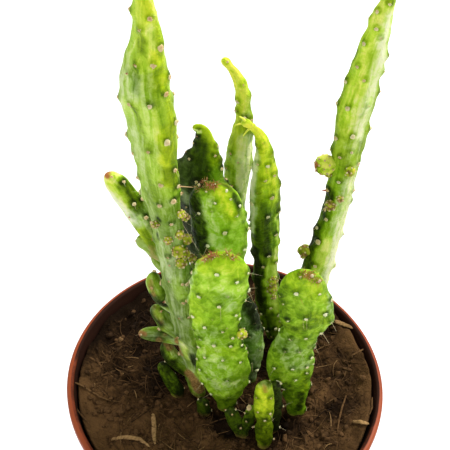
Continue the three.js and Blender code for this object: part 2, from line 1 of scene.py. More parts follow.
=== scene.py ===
"""Dresses the packed solids of a potted paddle cactus: grown skins with tubercles, woolly areoles,
bristles and spines, young buds, coir soil with its litter, and the moulded nursery pot.

Lengths in the tables are millimetres, and heights of the plant count from the top of the soil.
A table is text: commas part its rows and blanks part the numbers of a row. Places given as x y are
points of the 450 x 450 photograph: each is carried along the camera's ray onto the skin or the
soil that faces the camera there.
"""

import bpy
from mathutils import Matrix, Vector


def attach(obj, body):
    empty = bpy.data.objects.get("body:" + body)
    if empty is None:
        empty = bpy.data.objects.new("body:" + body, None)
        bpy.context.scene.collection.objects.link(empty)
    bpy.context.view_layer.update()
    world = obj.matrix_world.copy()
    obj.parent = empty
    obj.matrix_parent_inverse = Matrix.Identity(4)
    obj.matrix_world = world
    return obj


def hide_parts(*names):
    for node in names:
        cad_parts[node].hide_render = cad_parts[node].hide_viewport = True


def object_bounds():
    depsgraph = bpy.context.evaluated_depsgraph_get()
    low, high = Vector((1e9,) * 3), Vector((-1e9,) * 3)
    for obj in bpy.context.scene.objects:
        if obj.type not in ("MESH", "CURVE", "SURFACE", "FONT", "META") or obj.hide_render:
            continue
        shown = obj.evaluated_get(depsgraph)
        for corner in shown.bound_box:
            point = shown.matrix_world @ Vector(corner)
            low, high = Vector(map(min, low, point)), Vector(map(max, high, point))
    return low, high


bl_info = {
    "name": "Potted paddle cactus",
    "version": (1, 0, 0),
    "blender": (4, 5, 0),
    "location": "View3D > Sidebar > Cactus",
    "description": "Grows a pot of paddle cactus cuttings around its packed solids",
    "category": "Add Mesh",
}

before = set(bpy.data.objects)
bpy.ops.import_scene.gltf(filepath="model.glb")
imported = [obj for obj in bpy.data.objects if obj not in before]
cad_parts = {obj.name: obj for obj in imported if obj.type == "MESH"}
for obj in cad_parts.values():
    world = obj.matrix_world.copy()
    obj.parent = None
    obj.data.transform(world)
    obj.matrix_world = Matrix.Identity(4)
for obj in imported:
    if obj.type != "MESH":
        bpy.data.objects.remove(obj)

import math
from functools import cache

import bpy
import numpy as np
from bpy.props import FloatProperty, FloatVectorProperty, IntProperty, PointerProperty
from mathutils import Matrix, Vector

CAD_BOX = [list(corner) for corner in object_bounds()]
MM = 0.001
X, Y, Z = np.eye(3)
SOIL_LEVEL = 90.0
BALL_RADIUS = 3.0
SEED = 8435
# Where each kind of unevenness starts in the field of noise.
NOISE = {
    "clods": 11, "crumble": 29, "bank": 5, "crumbs": 7, "bead": 3,
    "tone": 51, "strokes": 60, "sway": 77, "grain": 91, "buds": 300,
}


def rows_of(text):
    """The rows of numbers that a table's text holds."""
    return [[float(number) for number in row.split()] for row in text.split(",")] if text else []


# ---- the camera of the photograph

PHOTO_SIZE = 450
LENS_MM = 88.0
SENSOR_MM = 36.0
FOCAL = PHOTO_SIZE * LENS_MM / SENSOR_MM
CAMERA_AT = np.array([-3.47, -247.85, 437.23])
CAMERA_PITCH = math.radians(46.17)
CAMERA_ROLL = math.radians(3.21)


def camera_axes():
    """The camera's right, up and forward directions."""
    forward = Y * math.cos(CAMERA_PITCH) - Z * math.sin(CAMERA_PITCH)
    upward = Y * math.sin(CAMERA_PITCH) + Z * math.cos(CAMERA_PITCH)
    cosine, sine = math.cos(CAMERA_ROLL), math.sin(CAMERA_ROLL)
    return cosine * X + sine * upward, cosine * upward - sine * X, forward


RIGHT, UP, FORWARD = camera_axes()


def to_photo(points):
    """Where points land in the photograph, in pixels."""
    offset = points - CAMERA_AT
    depth = offset @ FORWARD
    x = PHOTO_SIZE / 2 + FOCAL * (offset @ RIGHT) / depth
    y = PHOTO_SIZE / 2 - FOCAL * (offset @ UP) / depth
    return np.stack([x, y], axis=-1)


def ray_to(x, y):
    """The camera's ray through a point of the photograph, one long in the camera's direction."""
    return FORWARD + RIGHT * (x - PHOTO_SIZE / 2) / FOCAL + UP * (PHOTO_SIZE / 2 - y) / FOCAL


def at_depth_of(place, x, y):
    """The place seen at a point of the photograph, as far from the camera as another."""
    return CAMERA_AT + ray_to(x, y) * ((place - CAMERA_AT) @ FORWARD)


def facing_camera(points, outs):
    """How squarely skin faces the camera: 1 straight on, 0 edge on."""
    return np.einsum("nk,nk->n", unit(CAMERA_AT - points), outs)


# ---- the stems
#
# pads: the middle line as rows of x, y, height and half width, and what differs from PAD_FORM.
# wool: its tone (0 white, 1 tan) and the radius of an areole. grain: how far the skin's streaks
# are drawn out lengthwise (1 not at all). base: the marks of bare skin. areoles: x y and a scale.
# buds: x y, radius (above BALL_RADIUS, a smooth ball) and a stretch outward. tufts: x y and a
# radius. spines: x y at the root and at the tip, half thickness and tone. leaves: x, y and height
# of their two ends.

PAD_FORM = {
    "face": 0.0, "flat": 0.45, "edge": 1.85, "tip": 3.0, "heel": 0.0,
    "keel": 0.0, "keel_at": -90.0, "keel_spread": 38.0,
}
SHOOT = {"flat": 0.6, "edge": 2.0}

STEMS = {
    "tall_left_stem": {
        "slot": "stem_pale", "wool": (0.6, 0.78), "grain": 0.16,
        "base": {"tone": 0.62, "bloom": 0.3},
        "pads": [
            (
                "-9.5 -3.5 -13.5 3, -10.5 -4 2 3.2, -12 -4 21.5 4.6, -17 -4.5 55 5.5,"
                "-21 -5 86 5.1, -24.5 -5.5 113 6.2, -26.7 -5.7 137 7.7, -28.2 -6.2 151.5 7.4,"
                "-27.6 -6.7 166.5 4.6, -28 -7.5 180 2.8, -28.5 -8 191 1.2",
                {"face": -12, "flat": 0.55, "keel": 0.42, "keel_at": -66, "tip": 2},
            ),
            (
                "-21.5 -4 73.5 2, -26.5 -0.5 79.5 2.6, -30.2 2 86.5 3.7, -33.2 2.2 92.8 4.1,"
                "-36.3 2 98.9 4, -39.1 2 103.7 3.3, -41.7 1.8 107.3 1.7",
                {**SHOOT, "tip": 2},
            ),
            ("-20.5 -3 71.5 2, -27 -0.5 76.5 2.5, -32 0.8 80.3 2.2", SHOOT),
            ("-19.5 -3.5 65.5 1.8, -24 -1.5 69.5 2.1, -27.3 0 72.8 1.8", SHOOT),
            ("-17 -3.5 46.5 2.2, -23.5 -2 52.5 3.1, -26.5 -1 58.5 3, -27.2 -0.5 63.5 2.4", SHOOT),
            ("-15.5 -4 33.5 2, -21.5 -2 38 2.9, -25 -1 42.5 2.6, -26.6 -1 47.5 2", SHOOT),
            ("-13.5 -4 31 2, -21 -2 32 2.9, -27.5 -1.5 31.7 2.7, -32.4 -1 31.2 1.6", SHOOT),
            ("-11.5 -4.5 11.5 2, -17.5 -3.5 17 3.3, -21 -3 22.5 3.2, -23 -2 28 2.2", SHOOT),
        ],
        "areoles": """
151 17.6 1.1, 140.5 29 .8, 159.7 47.5 1.2, 153.6 65.8 1.1, 136 65 .6, 168 76.6 1, 128 73 .4,
165 94.2 1.1, 130.6 104.1 .9, 150.5 105.7 .9, 175 122.5 1.1, 167.3 141.7 1.2, 148.2 150.8 .7,
174.2 169.2 1, 161 183.8 .9, 177 186 1, 182 193.4 .9, 172.7 200.7 1.25, 160.5 205 .9, 171.8 223 .9,
154.3 238.8 .7, 133.6 153 .6, 136 177.6 .9, 142.2 198 1.1, 146 217.3 1.1, 156 250 .5, 168.6 256 .9,
190 257 1, 170 264 .6, 190.7 272 1, 170 280 .6, 187 283 .9, 183 283 .7, 184 302 1, 180 317 .6,
198 345 .9, 178 336 .7, 112 177 .4, 123 181 1, 134 203 .9, 130 217 .4, 151 287 .5, 161 310 .5,
142 334 .5, 166 302 .6, 186.5 300 .9, 188 316 .8
        """,
        "buds": """
180 213.5 1.3, 184.5 217 1.3, 179.3 233.8 1.5, 185.5 238.8 1.8, 178 250 2.1, 184.5 253 1.7,
181 261.5 1.9, 197.3 260 1.5, 156 223.6 1.2, 168.6 239.6 1.3
        """,
        "spines": """
177 186 194.5 187.4 .22 .35, 190.9 225.4 201.6 255.7 .06 .1, 150.5 105.7 147 100 .07 .2,
165 94.2 170 90 .06 .2
        """,
    },
    "front_left_stem": {
        "slot": "stem_bright", "wool": (0.06, 0.52), "grain": 0.6,
        "base": {"tone": 0.66, "lush": 0.8},
        "pads": [
            (
                "0.5 -10 -13 2.4, 0.5 -10.5 1.5 2.7, 0.2 -11 11 5.8, -0.6 -11.8 21 8.8,"
                "-1.4 -12.4 30 9.4, -2.6 -13.2 41 8.1, -4 -14 51.5 7.7, -5.1 -14.8 62 8.1,"
                "-4.8 -15.6 71.5 9, -4 -16.3 80 9.1, -3.6 -16.9 87.5 8.2, -4 -17.5 94.6 7",
                {"flat": 0.42, "tip": 8},
            ),
        ],
        "areoles": """
216.5 274 1.1, 237 281 1.25, 199.5 296 1.1, 219.7 305.8 1.5, 193.3 315.8 1.2, 236 314.5 1,
205 326.7 1.2, 221.8 331 .9, 192.5 329 1, 200.8 338 1, 233 337 1.1, 213.8 345 1.1, 197 338 .8,
198.5 346 1, 231 345 1.1, 241 345 1.1, 245 348 .8, 246 353 .9, 204.5 356.5 1, 197.5 358 1,
223 360 1, 240.3 361 1.2, 200 368.5 1.1, 208.5 377 .9, 226.5 379 1.2, 202.5 382.5 1.1, 211 393 1.1,
229 395.5 1.2, 193 272 1, 191 281 1.1, 247.5 272 1, 248 289.5 1.6, 244.5 299.7 1, 188 300 1,
189 317 .8, 193 262 .9, 239 318 .9, 228 296 .5, 212 318 .5, 227 327 .5
        """,
        "buds": "240.5 333 1.9",
        "tufts": "213 256.5 2, 234 257 1, 226 254 .8, 206 259 .8",
        "spines": """
220 305.8 221 322 .07 .15, 244.5 299.7 254 294 .06 .15, 244.5 299.7 253 303 .05 .15,
250 289.6 258 288 .06 .1, 250 289.6 254 303 .05 .15, 193 329 194 336 .05 .2
        """,
    },
    "centre_stem": {
        "slot": "stem_green", "wool": (0.08, 0.52), "grain": 0.5,
        "base": {"tone": 0.62, "lush": 0.7},
        "pads": [
            (
                "9 2.5 -14 2.4, 9 2.5 3 2.9, 7.7 2 13.5 5.4, 6.5 1.7 24 6.8, 5.3 1.4 33.5 6.8,"
                "3.9 1 43 5.8, 2.1 0.8 51 4.5, 0.7 0.5 57.5 3.9",
                {},
            ),
            (
                "3.3 1 46 3.1, 1.1 0.6 56 3.9, -1 0.3 64.5 5, -2.9 0 72 6.8, -4.2 -0.5 80 8.5,"
                "-5.1 -1 88 9.2, -6.3 -1.5 97 8.6, -7.6 -1.8 104 7.7, -8.8 -2 110.2 6.4",
                {"flat": 0.42, "tip": 8},
            ),
        ],
        "areoles": """
214.5 203 .9, 212 210 .8, 199 212 1.1, 239.5 204.5 1, 236 215 1.2, 225 232.5 1.35, 248 228 1.2,
207.5 244.3 1.3, 243.9 249 1.4, 226 190 .9, 199.5 186 1, 231 199 .7, 206 191 .7, 255 308 1.1,
250 336 .9, 260 349 .8, 252 362 1.1, 257 369 1.4, 254 322 .8, 248 380 1.2
        """,
        "tufts": "208 184.5 1.9, 215 184.5 1.1, 200 187 .7",
        "spines": "207.5 244.3 202.7 256.5 .11 .1, 243.9 249 244.5 262 .07 .1",
    },
    "crested_stem": {
        "slot": "stem_deep", "wool": (0.55, 0.42), "grain": 0.22,
        "base": {"tone": 0.3, "lush": 0.2},
        "pads": [
            (
                "-5.5 13.5 -14 2.6, -5.5 13.2 3 3, -6 13 23 3.9, -7.6 12.7 43 5.2,"
                "-9.2 12.5 57 6.3, -10.4 12.5 68 7.4, -11.2 12.5 79 8.6, -12.3 12.5 89 10,"
                "-13.7 12.5 97 10.3, -12.3 12.5 103.5 6.9, -11.3 12.5 109.3 4.5,"
                "-11.4 12.5 114 3.1, -11.7 12.5 117.5 2.1, -13.2 12.4 119.5 1.9,"
                "-15.4 12.1 119.4 1.7",
                {"face": -8, "flat": 0.4, "keel": 0.3, "keel_at": -48, "tip": 1.5},
            ),
        ],
        "areoles": """
217.5 146 1.3, 215 155.5 1.1, 222 160 .9, 221 168 1.5, 226 180 1.2, 229 187 1.2, 190 158 .9,
209 170 .7, 197 182 1.1, 187 206 .8, 186.5 151 .8, 194 143 .8, 198 136 .8
        """,
    },
    "back_hook_stem": {
        "slot": "stem_bright", "wool": (0.6, 0.55), "grain": 0.16,
        "base": {"tone": 0.6, "gold": 0.5},
        "pads": [
            (
                "-1 26 -14 2.7, -1 26 3 3.2, -1.2 26.8 25 3.7, -1.4 27.4 47 3.7, -0.9 28 67 3.8,"
                "-0.4 28.3 79 4.1, -0.2 28.6 90.5 4.5, 0.2 28.8 99 4.2, 0.7 29 107 3.1,"
                "0.5 29.2 115 2.4, -0.6 29.4 122 2, -2.9 29.5 128 1.6, -7 29.5 133.5 1",
                {"flat": 0.55, "keel": 0.35, "keel_at": -76, "tip": 1.5},
            ),
        ],
        "areoles": """
238 101 1.2, 236 110 .8, 249.5 96 .6, 244 118 1.4, 231 153 .8, 238 162 .9, 227 168 .6, 243.5 84 .8,
227 62 .8, 224 61 .9, 251 119 .8, 233 185 .6
        """,
        "spines": "224 60 219 59 .06 .1, 224 64 217 66 .05 .1, 227 61 236 58 .05 .1",
    },
    "slim_stem": {
        "slot": "stem_bright", "wool": (0.4, 0.5), "grain": 0.14,
        "base": {"tone": 0.52, "gold": 0.25},
        "pads": [
            (
                "19.5 25 -14 3, 19 24.6 3 3.5, 17 23.9 12.5 4.2, 14.5 22.9 27 4.4,"
                "12.6 21.6 41 4.3, 11.5 20.4 57 4.6, 10.5 19.2 71 5, 9.7 18.1 83.5 5.1,"
                "9 17 94 4.6, 8.4 16.2 102 3.5, 7.5 15.5 110.5 2.2, 5.4 15 116.5 1.6,"
                "0.8 14.2 121.5 1",
                {"flat": 0.6, "keel": 0.35, "keel_at": -112, "tip": 1.2},
            ),
        ],
        "areoles": """
262 143 .8, 258 146 .8, 271 154 .8, 262 151 .7, 258 163 1.1, 268 165.5 1.4, 252.5 168 .9,
274 174 1.3, 265 180.5 1.2, 279 184 .6, 258 192 .9, 272 196.5 1.5, 252 203.5 1.4, 279 211 1.1,
268 216.5 1.3, 250 220 .9, 276 233.5 1.4, 279 242 .7, 269 255 1.2, 276 262 .9, 263 266 1, 280 278 1,
274 297 1.2, 270 308 1, 279 315 1.6, 261 313 .9, 276 328 1.2, 267 330 1.1, 271 336 .8, 259 323 1.3
        """,
        "buds": "272 279.5 1.9, 271 288 1.9, 273 296 1",
        "leaves":
            "1.6 14.2 120.8 -1.2 13 124.4, 2.4 14.4 120.3 -2.8 14.8 118.6,"
            "3.6 14.6 119.4 0.4 12.6 116.2",
        "spines": "252 240 262 234 .06 .5, 253 257 272 259 .06 .5, 266 167 267 174 .06 .8",
    },
    "front_right_stem": {
        "slot": "stem_green", "wool": (0.12, 0.52), "grain": 0.6,
        "base": {"tone": 0.56, "lush": 0.7},
        "pads": [
            (
                "27 -10.5 -13 2.4, 27 -10.5 1.5 2.9, 26.2 -10.5 10.5 4.1, 26 -10.8 19 4.4,"
                "25.6 -11.5 27 3.9, 24.2 -12.4 34 3",
                {"flat": 0.6},
            ),
            (
                "22 -11.4 17.5 5.5, 22.6 -12 24.5 7.3, 22.4 -12.5 32.5 8.2, 22 -13 40 7.8,"
                "22.6 -13.5 47.5 6.9, 24.2 -14 55.5 5.5",
                {"heel": 5},
            ),
            (
                "23.2 -13.6 48 4.7, 24.7 -14 54.5 6.5, 25.5 -14.5 60.5 8.4, 25 -14.9 66.5 8.7,"
                "24 -15.3 72.5 8.5, 22.9 -15.7 78.5 7.8, 21.2 -16.4 87.5 5.5",
                {"flat": 0.42, "tip": 7},
            ),
        ],
        "areoles": """
300 277 1, 312 276 1, 319 281 1, 295.5 293 1.3, 320 293 .8, 288 319.5 1.1, 306 318 1.4,
325 313.5 1.3, 331 300 1.1, 331 321 1.2, 321.5 332 1.2, 291.5 338.5 1.1, 306 337.5 1.2, 314 341.5 1,
310 346 .9, 314 347 .9, 285 350 1, 298.5 351 1.1, 311.5 357 1.2, 306.5 366.5 1.2, 292.5 368.5 1,
275 367 1.3, 278 380.5 1.3, 295 379 1.2, 307 372 .9, 280.5 295 .8, 278 329 1, 281 321 .8,
284 303 .6, 313 363 .8, 283 388 1.2
        """,
        "tufts": "310 275.5 2, 303 274 .9, 317 281 1",
        "leaves": "25 -15.8 82.5 27.3 -16 86.3",
        "spines": """
303 318 304 331 .07 .2, 306 318 307 331 .06 .2, 322 332 330 345 .08 .2, 300 298 304 306 .06 .9
        """,
    },
    "tall_right_stem": {
        "slot": "stem_green", "wool": (0.5, 0.6), "grain": 0.14,
        "base": {"tone": 0.6, "gold": 0.4},
        "pads": [
            (
                "26 19 -14 2.8, 26.1 19 3 3.4, 28 20.1 17 4.7, 29.5 21.3 30 5.4,"
                "30.9 22.4 43.5 5.7, 32.6 23.7 57 5.2, 34.4 25 71 4.6, 35.7 26.5 87 4.5,"
                "36.3 28 103.5 5.3, 36.8 29.3 116 5.7, 37.9 30.6 127 5.5, 39.5 31.9 139 4.6,"
                "41 33 149 3.4, 42.1 33.9 156 2.4, 42.6 34.5 162 1.1",
                {"flat": 0.6, "keel": 0.35, "keel_at": -92, "tip": 1.5},
            ),
        ],
        "areoles": """
377.5 11.5 1.2, 376 29 1.1, 364.5 44 1.2, 358 66 1.1, 346 82 1.1, 365 80 1, 348 108.5 1.3,
338 103 .9, 336 138 1.2, 353 136 1.3, 389 5 1, 368.5 19 .5, 383 72 .6, 340 156.5 1.1,
330.5 149.5 .9, 338.5 181.5 1, 328.5 190 1.3, 325 209 1.1, 326.5 219 1, 317.5 227 1.1, 313 229 .6,
318 241 1.5, 315 266 1.2, 358 163 1.2, 355.5 191 1, 352 152 .8, 365 20 .5, 381 38 .9, 367 106 .6
        """,
        "buds": """
327.6 164.3 3.5 1.1, 329.3 172.5 1.5, 349.5 170.5 1.8, 331 205 1.9, 340 198.5 1.2, 306 250.8 2.3,
299 256 .9
        """,
        "spines": "328 190 321 190 .45 .95",
    },
    "small_bright_stem": {
        "slot": "stem_bright", "wool": (0.5, 0.42), "grain": 0.5,
        "base": {"tone": 0.6, "gold": 0.7},
        "pads": [
            (
                "15.5 -25 -12 2.1, 15.4 -25 1 2.6, 14.8 -25.3 9 3.1, 14.3 -25.5 19 2.4",
                {"flat": 0.65, "edge": 2},
            ),
            (
                "14.4 -25.5 14 2.2, 14 -25.5 21 3.3, 13.6 -25.5 28 3.5, 13 -25.5 39.5 2.6",
                {"flat": 0.55, "edge": 2, "tip": 4},
            ),
        ],
        "areoles": "270.5 413 1, 257.5 411 .9, 265 420 1, 256.5 397 .7, 271 398 .7",
    },
    "sprout_left": {
        "slot": "stem_green", "wool": (0.4, 0.35), "grain": 0.5,
        "base": {"tone": 0.24},
        "pads": [
            ("-17.5 -5.5 -12 2, -18 -5.5 1 2.5, -20.3 -4.6 7.5 2.8, -24.3 -3 16.5 2.1", SHOOT),
        ],
    },
    "sprout_inner": {
        "slot": "stem_deep", "wool": (0.3, 0.45), "grain": 0.5,
        "base": {"tone": 0.36},
        "areoles": "200 399 .9, 207 404 .8",
        "pads": [("-7.5 -12.5 -11 1.8, -7.6 -13 0 2.3, -8 -13.5 10 2.2", SHOOT)],
    },
    "sprout_front": {
        "slot": "stem_deep", "wool": (0.6, 0.42), "grain": 0.5,
        "base": {"tone": 0.4},
        "areoles": """
248 400 2.3, 252 405 1, 238 407 1, 243 412 .9, 232 415 .9, 246 421 .8, 240 428 .9, 226 408 .8,
254 428 .8
        """,
        "pads": [
            ("7.5 -22 -12 2, 7.2 -21.8 0 2.5, 4.6 -20.5 6 2.8, 2 -19 12.5 2.2", SHOOT),
            ("7 -21.7 1.5 1.7, 9 -21 8 2.1, 10.2 -20.4 17 1.8", {**SHOOT, "heel": 1.5}),
        ],
    },
    "sprout_right": {
        "slot": "stem_deep", "wool": (0.3, 0.4), "grain": 0.5,
        "base": {"tone": 0.16, "bloom": 0.2},
        "pads": [
            (
                "17.4 -19.3 -12 2.2, 17.4 -19.3 1 2.8, 17.1 -19.6 13 3.7, 16.2 -20.3 32.5 3",
                {**SHOOT, "flat": 0.45, "tip": 4},
            ),
        ],
    },
}

